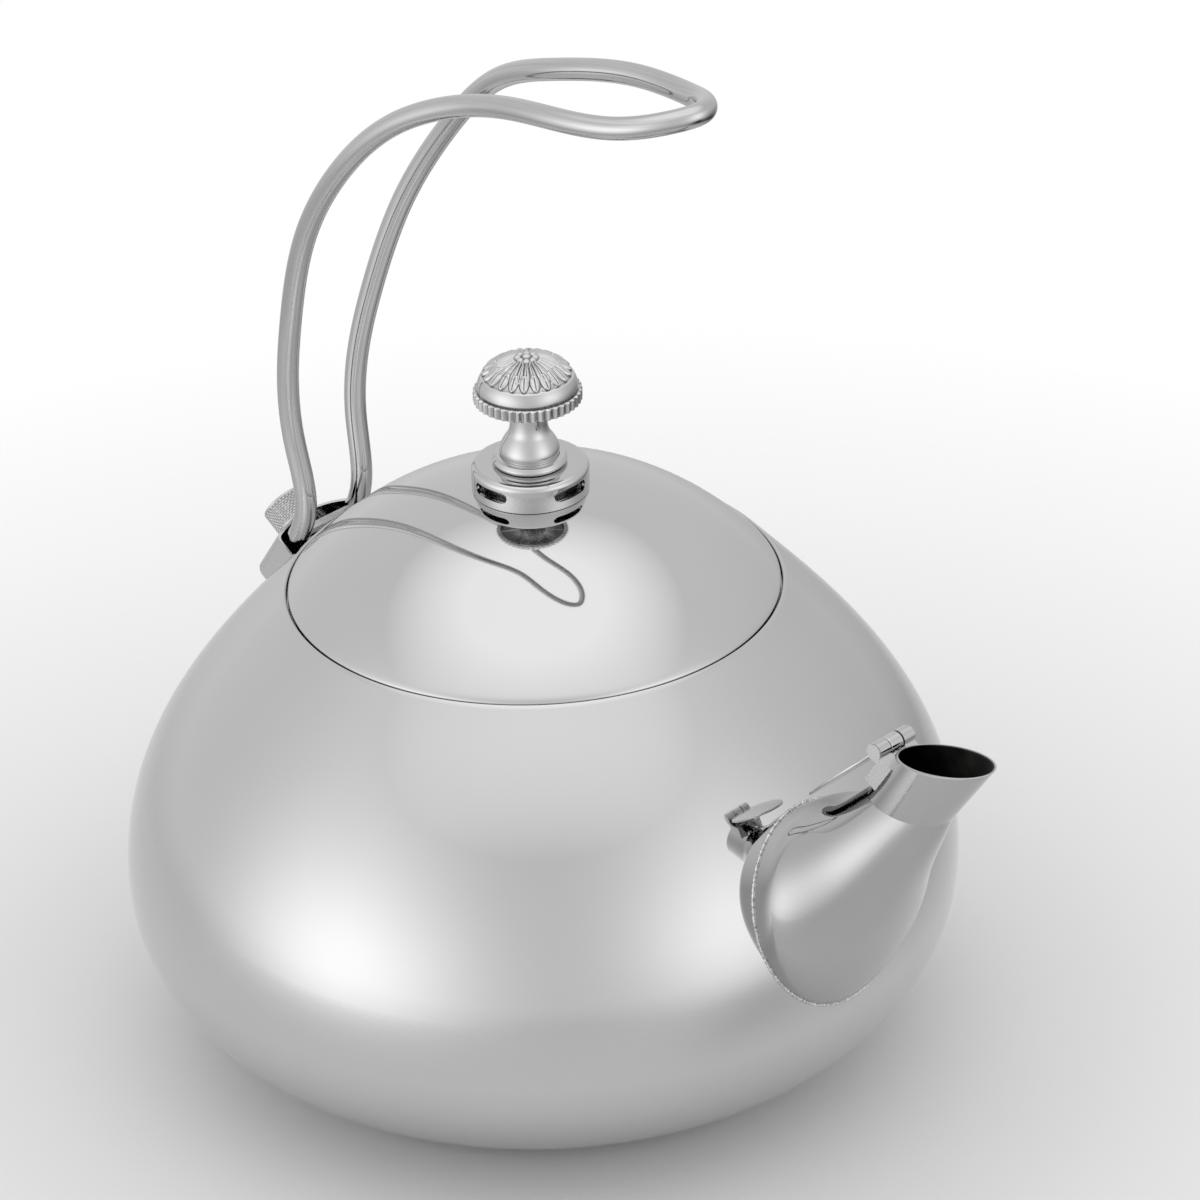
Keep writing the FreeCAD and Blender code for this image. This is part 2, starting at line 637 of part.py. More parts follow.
# the flap is drawn shut, in a frame on the hinge axis with X along the mouth, then opened
PLATE_LOW = -0.7      # lower face of the shut plate under the hinge axis
mouth_run = (mouth - hinge_axis).dot(rim_along)
oval_back = size("knuckle_radius") + 0.6
oval_front = mouth_run + size("mouth_length") / 2 + size("flap_overlap")
flap_blank = body("flap_blank")
plate_level = FreeCAD.Placement(V(0, 0, PLATE_LOW), FreeCAD.Rotation())
plate_sketch = new_sketch(flap_blank, "XY_Plane", plate_level)
oval_middle = V((oval_back + oval_front) / 2, 0, 0)
plate_edge = Part.Ellipse(V(oval_front, 0, 0), oval_middle + V(0, size("mouth_width / 2 + flap_overlap"), 0), oval_middle)
plate_sketch.addGeometry(plate_edge, False)
pad(flap_blank, plate_sketch, "flap_wall")
strap_half = "flap_knuckle / 2 - 0.1"
pad(flap_blank, outline(flap_blank, "XY_Plane", [
    (0, f"0 - ({strap_half})"), (oval_back + 3, f"0 - ({strap_half})"),
    (oval_back + 3, strap_half), (0, strap_half)], plate_level), "flap_wall")
flap_barrel = cylinder("flap_barrel", "knuckle_radius", "flap_knuckle", across(V(), "flap_knuckle"))
flap_bore = cylinder("flap_bore", "hinge_pin_radius + pin_play", "flap_knuckle * 2",
                     across(V(), "flap_knuckle * 2"))
spout_flap = cut("spout_flap", fuse("flap_solid", flap_blank, flap_barrel), flap_bore)
opened = FreeCAD.Rotation(V(0, 1, 0), -size("mouth_tilt") - size("flap_open"))
spout_flap.Placement = FreeCAD.Placement(hinge_axis, opened)
keep(spout_flap)

# ---------------------------------------------------------------- handle bracket
bracket_turn = FreeCAD.Rotation(V(0, 1, 0), -size("bracket_slope"))
bracket_foot = V(-size("bracket_reach"), 0, size("bracket_height"))
bracket_frame = FreeCAD.Placement(bracket_foot, bracket_turn)
BRACKET_ROOT = 4.0    # how far the blanks reach below the bracket's foot
SIDE_ROUND = 2.5      # rounding between side walls and roof
CORNER_ROUND = 3.5    # rounding of the closed lower end


def soften(owner, radius, chosen):
    """Rounds the edges of the body's last feature that pass a test on their bounds."""
    last = owner.Tip
    names = [f"Edge{number}" for number, edge in enumerate(last.Shape.Edges, start=1)
             if chosen(edge.BoundBox)]
    made = owner.newObject("PartDesign::Fillet", owner.Name + "_round")
    made.Base = (last, names)
    made.Radius = radius
    doc.recompute()


def arched(label, inset, ahead):
    """A loaf in the bracket's frame: X up the slope, Z out of the body, with an arched roof."""
    made = body(label)
    half, side, crown = (f"bracket_width / 2 - {inset}", f"bracket_side - {inset}", f"bracket_crown - {inset}")
    back = size(f"{inset} - bracket_length / 2")
    sketch = outline(made, "YZ_Plane", [
        (f"0 - ({half})", -BRACKET_ROOT), (half, -BRACKET_ROOT), (half, side),
        (f"0 - ({half})", side, [V(0, size(crown), 0)])], FreeCAD.Placement(V(0, 0, back), FreeCAD.Rotation()))
    pad(made, sketch, f"bracket_length - {inset} + {ahead}")
    soften(made, SIDE_ROUND - size(inset), lambda box: box.ZMin > 0 and box.XLength > 1)
    soften(made, CORNER_ROUND - size(inset), lambda box: box.ZMax > 0 and box.XMax < back + 0.01)
    made.Placement = bracket_frame
    return made


def square_on(label, radius, low, high):
    """A cylinder square to the bracket, on the screw's axis, between two heights."""
    place = bracket_frame * FreeCAD.Placement(V(size("screw_offset"), 0, size(low)), FreeCAD.Rotation())
    return cylinder(label, radius, f"{high} - ({low})", place)


cover_outer = arched("cover_outer", "0", 0)
cover_inner = arched("cover_inner", "bracket_wall", 2)
cover_shell = cut("cover_fitted", cut("cover_shell", cover_outer, cover_inner), body_form)
roof_drill = square_on("roof_drill", "screw_radius + screw_play", "0", "bracket_crown * 2")
handle_bracket = keep(cut("handle_bracket", cover_shell, roof_drill))

nut_top = "bracket_crown - bracket_wall"
nut_low = f"{nut_top} - 2.4"
nut_blank = square_on("nut_blank", "nut_radius", nut_low, "bracket_crown")
nut_fitted = doc.addObject("Part::Common", "nut_fitted")
nut_fitted.Base = nut_blank
nut_fitted.Tool = cover_inner
doc.recompute()
nut_drill = square_on("nut_drill", "screw_radius + screw_play", "0", "bracket_crown * 2")
clamp_nut = keep(cut("clamp_nut", nut_fitted, nut_drill))


def tray(label, half_width, back, front, low, high):
    """A plate in the bracket's frame."""
    made = doc.addObject("Part::Box", label)
    tie(made, "Length", front - back)
    tie(made, "Width", f"2 * ({half_width})")
    tie(made, "Height", f"{high} - ({low})")
    corner = V(back, -size(half_width), size(low))
    made.Placement = bracket_frame * FreeCAD.Placement(corner, FreeCAD.Rotation())
    return made


ROD_SPREAD = 10.3     # half the distance between the rod's two ends
TONGUE_BACK = -6.0
TONGUE_FRONT = 12.0
tongue_half = f"{ROD_SPREAD} - rod_radius + 0.15"
handle_tongue = keep(tray("handle_tongue", tongue_half, TONGUE_BACK, TONGUE_FRONT,
                          "tongue_lift", "tongue_lift + tongue_wall"))
pad_blank = tray("pad_blank", f"{tongue_half} - 1", TONGUE_BACK + 0.5, TONGUE_FRONT - 4,
                 -BRACKET_ROOT, f"tongue_lift - {TRAVEL_GAP}")
bracket_pad = keep(cut("bracket_pad", pad_blank, body_form))

# ---------------------------------------------------------------- thumb screw
screw_tip = f"tongue_lift + tongue_wall + {TRAVEL_GAP}"
knob_low = f"bracket_crown + {TRAVEL_GAP}"
thumb_screw = keep(square_on("thumb_screw", "screw_radius", screw_tip, knob_low + " + thumb_height * 0.6"))
thumb_knob = revolved("thumb_knob", [
    ("screw_radius", knob_low), ("thumb_radius - 0.4", knob_low), ("thumb_radius", f"{knob_low} + 0.4"),
    ("thumb_radius", f"{knob_low} + thumb_height - 0.4"), ("thumb_radius - 0.4", f"{knob_low} + thumb_height"),
    (0, f"{knob_low} + thumb_height"), (0, f"{knob_low} + thumb_height * 0.6"),
    ("screw_radius", f"{knob_low} + thumb_height * 0.6")])
knurl = circle(thumb_knob, "XY_Plane", 0.35, x="thumb_radius + 0.15",
               offset=FreeCAD.Placement(V(0, 0, size(knob_low)), FreeCAD.Rotation()))
knurl_cut = pocket(thumb_knob, knurl, "thumb_height", reverse=True)
pattern(thumb_knob, knurl_cut, "thumb_flutes")
thumb_knob.Placement = bracket_frame * FreeCAD.Placement(V(size("screw_offset"), 0, 0), FreeCAD.Rotation())
keep(thumb_knob)

# ---------------------------------------------------------------- handle rod
# one rod bent round the grip: stations of one leg as shares of the way from the leg's
# foot to the grip's front end, along X and Z, with the leg's distance from the middle
LEG = ((0.046, 0.072, 10.2), (0.035, 0.202, 11.2), (0.07, 0.431, 14.8), (0.142, 0.6, 18.0),
       (0.255, 0.75, 19.8), (0.395, 0.867, 17.8), (0.565, 0.933, 14.6), (0.737, 0.965, 16.2),
       (0.896, 0.978, 13.2), (0.976, 0.994, 6.4))
leg_end = bracket_frame.multVec(V(5.0, -ROD_SPREAD, 2.4))
leg_bend = bracket_frame.multVec(V(9.5, -ROD_SPREAD, 2.1))
grip_end = V(size("grip_reach"), 0, size("grip_height"))
stations = [V(leg_end.x + along * (grip_end.x - leg_end.x), -spread,
              leg_end.z + rise * (grip_end.z - leg_end.z)) for along, rise, spread in LEG]
near_leg = [leg_end, leg_bend, *stations]
far_leg = [V(place.x, -place.y, place.z) for place in reversed(near_leg)]
rod_line = Part.BSplineCurve()
rod_line.interpolate(Points=[*near_leg, grip_end, *far_leg])
rod_path = Part.Wire([rod_line.toShape()])
start_way = rod_line.tangent(rod_line.FirstParameter)[0]
rod_section = Part.Wire([Part.makeCircle(size("rod_radius"), leg_end, start_way)])
handle_rod = doc.addObject("Part::Feature", "handle_rod")
handle_rod.Label = "handle_rod"
handle_rod.Shape = rod_path.makePipeShell([rod_section], True, True)
keep(handle_rod)

# ---------------------------------------------------------------- check and write
doc.recompute()
for thing in doc.Objects:
    if "Invalid" in thing.State or "Error" in thing.State:
        raise RuntimeError(f"{thing.Name} failed: {thing.State}")
for label, node in kept.items():
    if node.Shape.isNull() or not node.Shape.isValid() or not node.Shape.Solids:
        raise RuntimeError(f"{label} has no valid solid")
    print(f"{label:20s} solids {len(node.Shape.Solids)} volume {node.Shape.Volume:10.1f} mm3")

os.makedirs("parts", exist_ok=True)
for label, node in kept.items():
    node.Shape.exportStep(f"parts/{label}.step")
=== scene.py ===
import json
import bmesh
import bpy
import numpy as np
from mathutils import Matrix, Vector


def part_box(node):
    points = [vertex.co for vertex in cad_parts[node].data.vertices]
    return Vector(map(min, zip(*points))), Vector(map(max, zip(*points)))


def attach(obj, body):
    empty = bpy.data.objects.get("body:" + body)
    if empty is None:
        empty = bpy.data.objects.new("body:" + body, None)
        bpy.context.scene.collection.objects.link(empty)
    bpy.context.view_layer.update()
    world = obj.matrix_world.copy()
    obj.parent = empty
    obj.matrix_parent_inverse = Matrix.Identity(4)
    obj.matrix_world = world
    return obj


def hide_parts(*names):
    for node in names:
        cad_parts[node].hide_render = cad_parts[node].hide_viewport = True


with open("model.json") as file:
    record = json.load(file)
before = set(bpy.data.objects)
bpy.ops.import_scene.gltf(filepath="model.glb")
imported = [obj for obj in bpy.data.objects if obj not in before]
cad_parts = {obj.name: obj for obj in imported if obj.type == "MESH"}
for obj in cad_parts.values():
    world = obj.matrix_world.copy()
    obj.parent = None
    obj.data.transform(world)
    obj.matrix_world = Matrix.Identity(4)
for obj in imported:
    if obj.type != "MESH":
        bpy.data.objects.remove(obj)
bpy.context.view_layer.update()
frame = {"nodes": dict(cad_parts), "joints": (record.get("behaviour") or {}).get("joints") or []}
nodes = frame["nodes"]

# ------------------------------------------------------------------ body shell
# The egg-shaped body is drawn and spun from 0.8 mm stainless sheet and polished to a
# mirror. Its upper edge is rolled to a small round lip, and a round hole behind the
# spout lets the water out. Lengths are in millimetres here and in every section below.
MM = 0.001
MERGED = 2e-7         # points of a mesh closer than this, in metres, are one point


def cubic(poles, count):
    """A cubic Bezier curve: its four poles weighed by (1-t)^3, 3t(1-t)^2, 3t^2(1-t) and t^3."""
    t = np.linspace(0, 1, count)[:, None]
    weights = np.hstack([(1 - t) ** 3, 3 * t * (1 - t) ** 2, 3 * t ** 2 * (1 - t), t ** 3])
    return weights @ np.array(poles, float)


def heading(degrees):
    """A unit vector at an angle above level."""
    return np.array([np.cos(np.radians(degrees)), np.sin(np.radians(degrees))])


def skin(name, grid, loop=False, sharp=None, field=None):
    """A mesh over a grid of points, one quad to a cell. The last column joins the first, and
    loop joins the last row to the first. Poles are merged and faces turned outwards. field
    holds a vector for each point, which a material reads as the attribute "streak"."""
    rows, columns = grid.shape[:2]
    index = np.arange(rows * columns).reshape(rows, columns)
    index = np.hstack([index, index[:, :1]])
    if loop:
        index = np.vstack([index, index[:1]])
    quads = np.stack([index[:-1, :-1], index[:-1, 1:], index[1:, 1:], index[1:, :-1]], -1)
    quads = quads.reshape(-1, 4)
    mesh = bpy.data.meshes.new(name)
    mesh.vertices.add(rows * columns)
    mesh.vertices.foreach_set("co", (grid * MM).ravel())
    mesh.loops.add(quads.size)
    mesh.loops.foreach_set("vertex_index", quads.ravel())
    mesh.polygons.add(len(quads))
    mesh.polygons.foreach_set("loop_start", np.arange(0, quads.size, 4))
    if field is not None:
        streak = mesh.attributes.new("streak", "FLOAT_VECTOR", "POINT")
        streak.data.foreach_set("vector", field.astype(np.float32).ravel())
    mesh.update(calc_edges=True)
    cells = bmesh.new()
    cells.from_mesh(mesh)
    bmesh.ops.remove_doubles(cells, verts=cells.verts, dist=MERGED)
    bmesh.ops.recalc_face_normals(cells, faces=cells.faces)
    cells.to_mesh(mesh)
    cells.free()
    mesh.shade_smooth()
    if sharp:
        mesh.set_sharp_from_angle(angle=np.radians(sharp))
    piece = bpy.data.objects.new(name, mesh)
    bpy.context.scene.collection.objects.link(piece)
    return piece


def lathe(name, outline, around=256, sharp=None, ripple=None):
    """An outline in radius and height turned about +Z: x = r cos a, y = r sin a."""
    turn = np.linspace(0, 2 * np.pi, around, endpoint=False)
    radius = outline[:, 0, None] * np.ones(around)
    height = outline[:, 1, None] * np.ones(around)
    if ripple:
        radius, height = ripple(radius, height, turn[None, :])
    points = np.stack([radius * np.cos(turn), radius * np.sin(turn), height], -1)
    return skin(name, points, sharp=sharp)


def lip(first, last, bulge, count=9):
    """A half ellipse from one point to another that bulges to their right."""
    first, last = np.array(first, float), np.array(last, float)
    middle, half = (first + last) / 2, (last - first) / 2
    out = np.array([half[1], -half[0]]) / np.linalg.norm(half) * bulge
    sweep = np.linspace(0, np.pi, count)[1:-1, None]
    return middle - half * np.cos(sweep) + out * np.sin(sweep)


SHEET = 0.8
shell_low, shell_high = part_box("body_shell")
BELLY = (shell_high.x / MM, 53.3)
FOOT = (70.0, shell_low.z / MM)
RIM = (64.9, shell_high.z / MM - 0.25)
RIM_SLOPE = 47.2
FOOT_SLOPE, FOOT_HANDLE = 28.3, 19.4
BELLY_FALL, BELLY_RISE = 28.9, 32.9
RIM_HANDLE = 29.5
ROOT_HEIGHT, ROOT_HOLE = 73.5, 15.0
LIP_BULGE = 0.22
BOTTOM_EDGE = 0.4     # width of the soft corner between bottom and side


def body_outline(inset):
    """The body's outline from foot to rim as two cubics, inset by a wall."""
    foot = np.array([FOOT[0] - inset / 3, FOOT[1] + inset])
    belly = np.array([BELLY[0] - inset, BELLY[1]])
    rim = np.array(RIM) - inset * heading(90 - RIM_SLOPE)
    low = cubic([foot, foot + FOOT_HANDLE * heading(FOOT_SLOPE), belly - (0, BELLY_FALL), belly], 56)
    high = cubic([belly, belly + (0, BELLY_RISE), rim + RIM_HANDLE * heading(-RIM_SLOPE), rim], 84)
    return np.vstack([low, high[1:]])


def radii(start, end, height, count):
    """Points on a level line, from one radius to another."""
    return np.stack([np.linspace(start, end, count), np.full(count, height)], -1)


outside, inside = body_outline(0), body_outline(SHEET)[::-1]
shell_line = np.vstack([radii(0, FOOT[0] - BOTTOM_EDGE, FOOT[1], 12), outside,
                        lip(outside[-1], inside[0], LIP_BULGE), inside,
                        radii(inside[-1, 0] - BOTTOM_EDGE, 0, FOOT[1] + SHEET, 12)])
body = lathe("body", shell_line, around=288, sharp=40)


def without(piece, tool):
    """Cuts the tool out of the piece and removes the tool. The piece loses its materials."""
    cut = piece.modifiers.new("cut", "BOOLEAN")
    cut.object, cut.operation, cut.solver = tool, "DIFFERENCE", "EXACT"
    bpy.context.view_layer.update()
    shape = piece.evaluated_get(bpy.context.evaluated_depsgraph_get())
    piece.data = bpy.data.meshes.new_from_object(shape)
    piece.modifiers.clear()
    piece.data.materials.clear()
    bpy.data.objects.remove(tool)


def drilled(piece, start, end, radius):
    """Cuts a round hole through the piece between two points, in millimetres."""
    reach = Vector(end) - Vector(start)
    turn = reach.to_track_quat("Z", "Y").to_matrix().to_4x4()
    drill = bpy.data.objects.new("drill", bpy.data.meshes.new("drill"))
    cells = bmesh.new()
    bmesh.ops.create_cone(cells, cap_ends=True, segments=96, radius1=radius * MM,
                          radius2=radius * MM, depth=reach.length * MM)
    cells.transform(Matrix.Translation((Vector(start) + Vector(end)) / 2 * MM) @ turn)
    cells.to_mesh(drill.data)
    cells.free()
    bpy.context.scene.collection.objects.link(drill)
    without(piece, drill)


drilled(body, (60, 0, ROOT_HEIGHT), (120, 0, ROOT_HEIGHT), ROOT_HOLE)


class Value:
    """A shader number that takes + - * / and ** with numbers and other values."""

    def __init__(self, tree, socket):
        self.tree, self.socket = tree, socket

    def maths(self, operation, *others, swap=False):
        inputs = [self, *others]
        return self.tree.node("Math", {"operation": operation}, inputs[::-1] if swap else inputs)

    def __add__(self, other):
        return self.maths("ADD", other)

    def __radd__(self, other):
        return self.maths("ADD", other)

    def __sub__(self, other):
        return self.maths("SUBTRACT", other)

    def __rsub__(self, other):
        return self.maths("SUBTRACT", other, swap=True)

    def __mul__(self, other):
        return self.maths("MULTIPLY", other)

    def __rmul__(self, other):
        return self.maths("MULTIPLY", other)

    def __truediv__(self, other):
        return self.maths("DIVIDE", other)

    def __pow__(self, other):
        return self.maths("POWER", other)


class Finish:
    """A material and the one method that adds nodes to it."""

    def __init__(self, name, tree=None):
        if tree is None:
            self.material = bpy.data.materials.new(name)
            self.material.use_nodes = True
            tree = self.material.node_tree
        self.nodes, self.links = tree.nodes, tree.links
        self.shader = tree.nodes.get("Principled BSDF")

    def node(self, kind, settings, sockets=(), output=0):
        """A node of a type, with its settings made first, then the values or links of its
        sockets, by place or by name. Gives one of its outputs."""
        made = self.nodes.new("ShaderNode" + kind)
        for field, setting in settings.items():
            setattr(made, field, setting)
        pairs = sockets.items() if isinstance(sockets, dict) else enumerate(sockets)
        for place, given in pairs:
            if isinstance(given, Value):
                self.links.new(given.socket, made.inputs[place])
            else:
                made.inputs[place].default_value = given
        return Value(self, made.outputs[output])

    def place(self):
        """The surface's own coordinates, in metres."""
        return self.node("TexCoord", {}, output="Object")

    def axes(self):
        """X, Y and Z of the surface's own coordinates, in millimetres."""
        split = self.node("SeparateXYZ", {}, [self.place()]).socket.node
        return [Value(self, split.outputs[axis]) * (1 / MM) for axis in range(3)]

    def noise(self, scale, detail=3.0, stretch=(1, 1, 1), vector=None):
        """Smooth noise from 0 to 1, with scale features to the metre along each axis."""
        at = self.node("Mapping", {}, {"Vector": vector or self.place(), "Scale": stretch})
        return self.node("TexNoise", {}, {"Vector": at, "Scale": scale, "Detail": detail})

    def remap(self, value, low, high, start=0.0, end=1.0):
        """A value between low and high carried to start and end, and held there outside."""
        return self.node("MapRange", {"clamp": True}, [value, low, high, start, end])

    def shade(self, factor, dark, light):
        """A colour between two colours."""
        ends = {0: factor, 6: (*dark, 1), 7: (*light, 1)}
        return self.node("Mix", {"data_type": "RGBA"}, ends, output=2)

    def bump(self, height, strength, distance):
        """A normal from a height."""
        return self.node("Bump", {}, {"Strength": strength, "Distance": distance, "Height": height})

    def wear(self, colour=None, roughness=None, normal=None, metallic=1.0):
        """Connects the shader's surface inputs."""
        for name, given in (("Base Color", colour), ("Roughness", roughness), ("Normal", normal)):
            if isinstance(given, Value):
                self.links.new(given.socket, self.shader.inputs[name])
            elif given is not None:
                self.shader.inputs[name].default_value = given
        self.shader.inputs["Metallic"].default_value = metallic


def polished(name, dark, light, base_rough, spread, wave, centre_lines=1.0):
    """Mirror-polished steel: slow waves in the sheet, faint lathe lines round the axis, hazy
    patches where the buffing wheel passed, and a few fine wipe marks."""
    steel = Finish(name)
    x, y, z = steel.axes()
    radius = (x * x + y * y) ** 0.5
    round_and_up = steel.node("CombineXYZ", {}, [radius, z, 0.0])
    lines = steel.noise(2.2, 4.0, (1.0, 1.0, 1.0), round_and_up)
    haze = steel.noise(14.0, 3.0)
    wipes = steel.noise(60.0, 2.0, (1.0, 1.0, 9.0))
    slow = steel.noise(9.0, 1.0)
    colour = steel.shade(steel.remap(haze, 0.3, 0.7), dark, light)
    hazy = steel.remap(haze, 0.42, 0.72, 0.0, spread)
    wiped = steel.remap(wipes, 0.55, 0.8, 0.0, spread * 0.5)
    rough = hazy + wiped + lines * (0.02 * centre_lines) + base_rough
    height = slow + lines * (0.0012 * centre_lines)
    steel.wear(colour, rough, steel.bump(height, 1.0, wave))
    return steel.material


sheet_steel = polished("polished_sheet", (0.600, 0.600, 0.604), (0.625, 0.625, 0.628),
                       0.022, 0.022, 0.00010)
body.data.materials.append(sheet_steel)
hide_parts("body_shell")
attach(body, "kettle")

# ------------------------------------------------------------------ base
# A steel cup pressed over an aluminium disc and brazed under the body spreads the heat.
# Its face is turned on a lathe, which leaves fine rings.


def turned(name, dark, light, pitch, depth, rough):
    """Turned or brushed steel: rings round the kettle's axis, with tool marks and stains."""
    steel = Finish(name)
    x, y, z = steel.axes()
    radius = (x * x + y * y) ** 0.5
    rings = (radius * (6.2832 / pitch)).maths("SINE") * 0.5 + 0.5
    uneven = steel.noise(90.0, 3.0, vector=steel.node("CombineXYZ", {}, [radius * 0.02, z * 0.02, 0.0]))
    stain = steel.noise(35.0, 4.0)
    colour = steel.shade(steel.remap(stain, 0.3, 0.7), dark, light)
    steel.wear(colour, steel.remap(uneven * 0.6 + stain * 0.4, 0.3, 0.7, rough - 0.06, rough + 0.08),
               steel.bump(rings * 0.4 + uneven, 0.6, depth))
    return steel.material


def finish_node(node, material):
    """Gives a node of the frame its finish."""
    nodes[node].data.materials.clear()
    nodes[node].data.materials.append(material)


cup_steel = turned("turned_cup", (0.50, 0.50, 0.50), (0.58, 0.58, 0.585), 0.8, 0.00006, 0.26)
finish_node("base_cup", cup_steel)
core_metal = turned("pressed_aluminium", (0.62, 0.62, 0.63), (0.70, 0.70, 0.71), 1.5, 0.0001, 0.4)
finish_node("base_core", core_metal)

# ------------------------------------------------------------------ neck ring and lid skirt
# Two rolled steel rings: one is spot-welded inside the body's mouth as the lid's seat, and
# the other under the lid, to centre it. They keep the satin face of the rolled strip.


def satin(name, dark, light, rough):
    """Satin strip: fine brushed grain, longer one way, with slight stains."""
    steel = Finish(name)
    grains = steel.noise(700.0, 3.0, (1.0, 1.0, 12.0))
    stain = steel.noise(40.0, 3.0)
    colour = steel.shade(steel.remap(grains * 0.5 + stain * 0.5, 0.35, 0.65), dark, light)
    steel.wear(colour, steel.remap(grains, 0.3, 0.7, rough - 0.05, rough + 0.07),
               steel.bump(grains, 0.5, 0.00003))
    return steel.material


strip_steel = satin("satin_strip", (0.48, 0.48, 0.485), (0.57, 0.57, 0.575), 0.24)
for part in ("neck_ring", "lid_skirt", "whistle_ring"):
    finish_node(part, strip_steel)

# ------------------------------------------------------------------ lid
# The lid is a domed disc of the same sheet, with its edge turned down so that it closes the
# body's curve with a fine gap. The steam hole in its middle is under the cage.
lid_low, lid_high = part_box("lid_dome")
LID_RADIUS = lid_high.x / MM
LID_EDGE = RIM[1] + 0.25
LID_APEX = 160.7
STEAM_RADIUS = 8.0


def lid_outline(drop):
    """The lid's outline from edge to apex as one cubic, lowered by a wall."""
    start = np.array([LID_RADIUS - drop, LID_EDGE])
    up = start + 33.6 * heading(180 - RIM_SLOPE)
    return cubic([start, up, (18.3, LID_APEX - drop), (0, LID_APEX - drop)], 120)


def outside_hole(line):
    """The stretch of a line that lies outside the steam hole."""
    return line[line[:, 0] >= STEAM_RADIUS]


crown, ceiling = outside_hole(lid_outline(0)), outside_hole(lid_outline(SHEET))[::-1]
edge_foot = lid_low.z / MM
edge_round = cubic([(LID_RADIUS, edge_foot + 0.3), (LID_RADIUS, edge_foot),
                    (LID_RADIUS - SHEET, edge_foot), (LID_RADIUS - SHEET, edge_foot + 0.3)], 9)
shoulder = cubic([(LID_RADIUS, LID_EDGE - 0.35), (LID_RADIUS, LID_EDGE - 0.1),
                  crown[1], crown[2]], 7)
lid_line = np.vstack([edge_round[::-1], shoulder, crown[3:], ceiling])
lid = lathe("lid", np.vstack([lid_line, lid_line[:1]]), around=288, sharp=60)
lid.data.materials.append(sheet_steel)
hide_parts("lid_dome")
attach(lid, "lid")

# ------------------------------------------------------------------ whistle cage
# A drawn steel cup stands mouth-down on the lid over the steam hole. Four long slots let
# the whistle sound. The knob's stud clamps it to the lid.
cage_low, cage_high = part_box("whistle_cage")
CAGE_RADIUS = 15.2
CAGE_WALL = 0.9
CAGE_TOP = cage_high.z / MM
CAGE_FOOT = cage_low.z / MM
BORE = 2.05


def rounded(corners):
    """An outline through corners (x, y, radius): each corner is an arc of its radius between
    two points on its sides, with one more point on each side to keep the side flat."""
    corners = np.array(corners, float)
    line = []
    for before, corner, after in zip(np.roll(corners, 1, 0), corners, np.roll(corners, -1, 0)):
        middle, radius = corner[:2], corner[2]
        to_before, to_after = before[:2] - middle, after[:2] - middle
        to_before, to_after = to_before / np.linalg.norm(to_before), to_after / np.linalg.norm(to_after)
        half = np.arccos(np.clip(to_before @ to_after, -1, 1)) / 2
        if radius == 0 or half > 1.56:
            line.append(middle[None, :])
            continue
        reach = radius / np.tan(half)
        spread = np.linspace(-1, 1, 9)[:, None] * (np.pi / 2 - half)
        inward = (to_before + to_after) / np.linalg.norm(to_before + to_after)
        level = (to_after - to_before) / np.linalg.norm(to_after - to_before)
        centre = middle + inward * (radius / np.sin(half))
        arc = centre - radius * (inward * np.cos(spread) - level * np.sin(spread))
        side = reach + radius * 0.35
        line.append(np.vstack([middle + to_before * side, arc, middle + to_after * side]))
    return np.vstack(line)


def closed_lathe(name, corners):
    """A ring turned from a closed outline of rounded corners."""
    line = rounded(corners)
    return lathe(name, np.vstack([line, line[:1]]), around=192, sharp=50)


def bar(outline, start, end, up):
    """A closed straight bar of an outline between two points, for cutting."""
    start, end = np.array(start, float), np.array(end, float)
    ahead = (end - start) / np.linalg.norm(end - start)
    side = np.cross(up, ahead)
    ring = outline[:, :1] * side + outline[:, 1:] * np.array(up, float)
    hub = np.zeros_like(ring)
    return skin("tool", np.stack([start + hub, start + ring, end + ring, end + hub]), sharp=30)


def carved(piece, tool):
    """Cuts the tool out of the piece and shades the new edges sharp."""
    without(piece, tool)
    piece.data.shade_smooth()
    piece.data.set_sharp_from_angle(angle=np.radians(30))


cage = closed_lathe("cage", [
    (CAGE_RADIUS, CAGE_FOOT, 0.25), (CAGE_RADIUS, CAGE_TOP, 1.6), (BORE, CAGE_TOP, 0.2),
    (BORE, CAGE_TOP - CAGE_WALL, 0.1), (CAGE_RADIUS - CAGE_WALL, CAGE_TOP - CAGE_WALL, 0.7),
    (CAGE_RADIUS - CAGE_WALL, CAGE_FOOT + 0.25, 0.2)])
SLOT_WIDTH, SLOT_HEIGHT = 11.0, 3.1
slot_centre = CAGE_FOOT + 3.9
turn = np.linspace(0, 2 * np.pi, 40, endpoint=False)
slot_ends = np.sign(np.cos(turn)) * (SLOT_WIDTH - SLOT_HEIGHT) / 2
slot_line = np.stack([SLOT_HEIGHT / 2 * np.cos(turn) + slot_ends, SLOT_HEIGHT / 2 * np.sin(turn)], -1)
for way in ((1, 0), (0, 1)):
    reach = CAGE_RADIUS * 1.3 * np.array([*way, 0])
    level = np.array([0, 0, slot_centre])
    carved(cage, bar(slot_line, level - reach, level + reach, (0, 0, 1)))
plated = polished("plated_fittings", (0.560, 0.560, 0.565), (0.620, 0.620, 0.625),
                  0.03, 0.03, 0.00003, 1.6)
cage.data.materials.append(plated)
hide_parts("whistle_cage")
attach(cage, "lid")

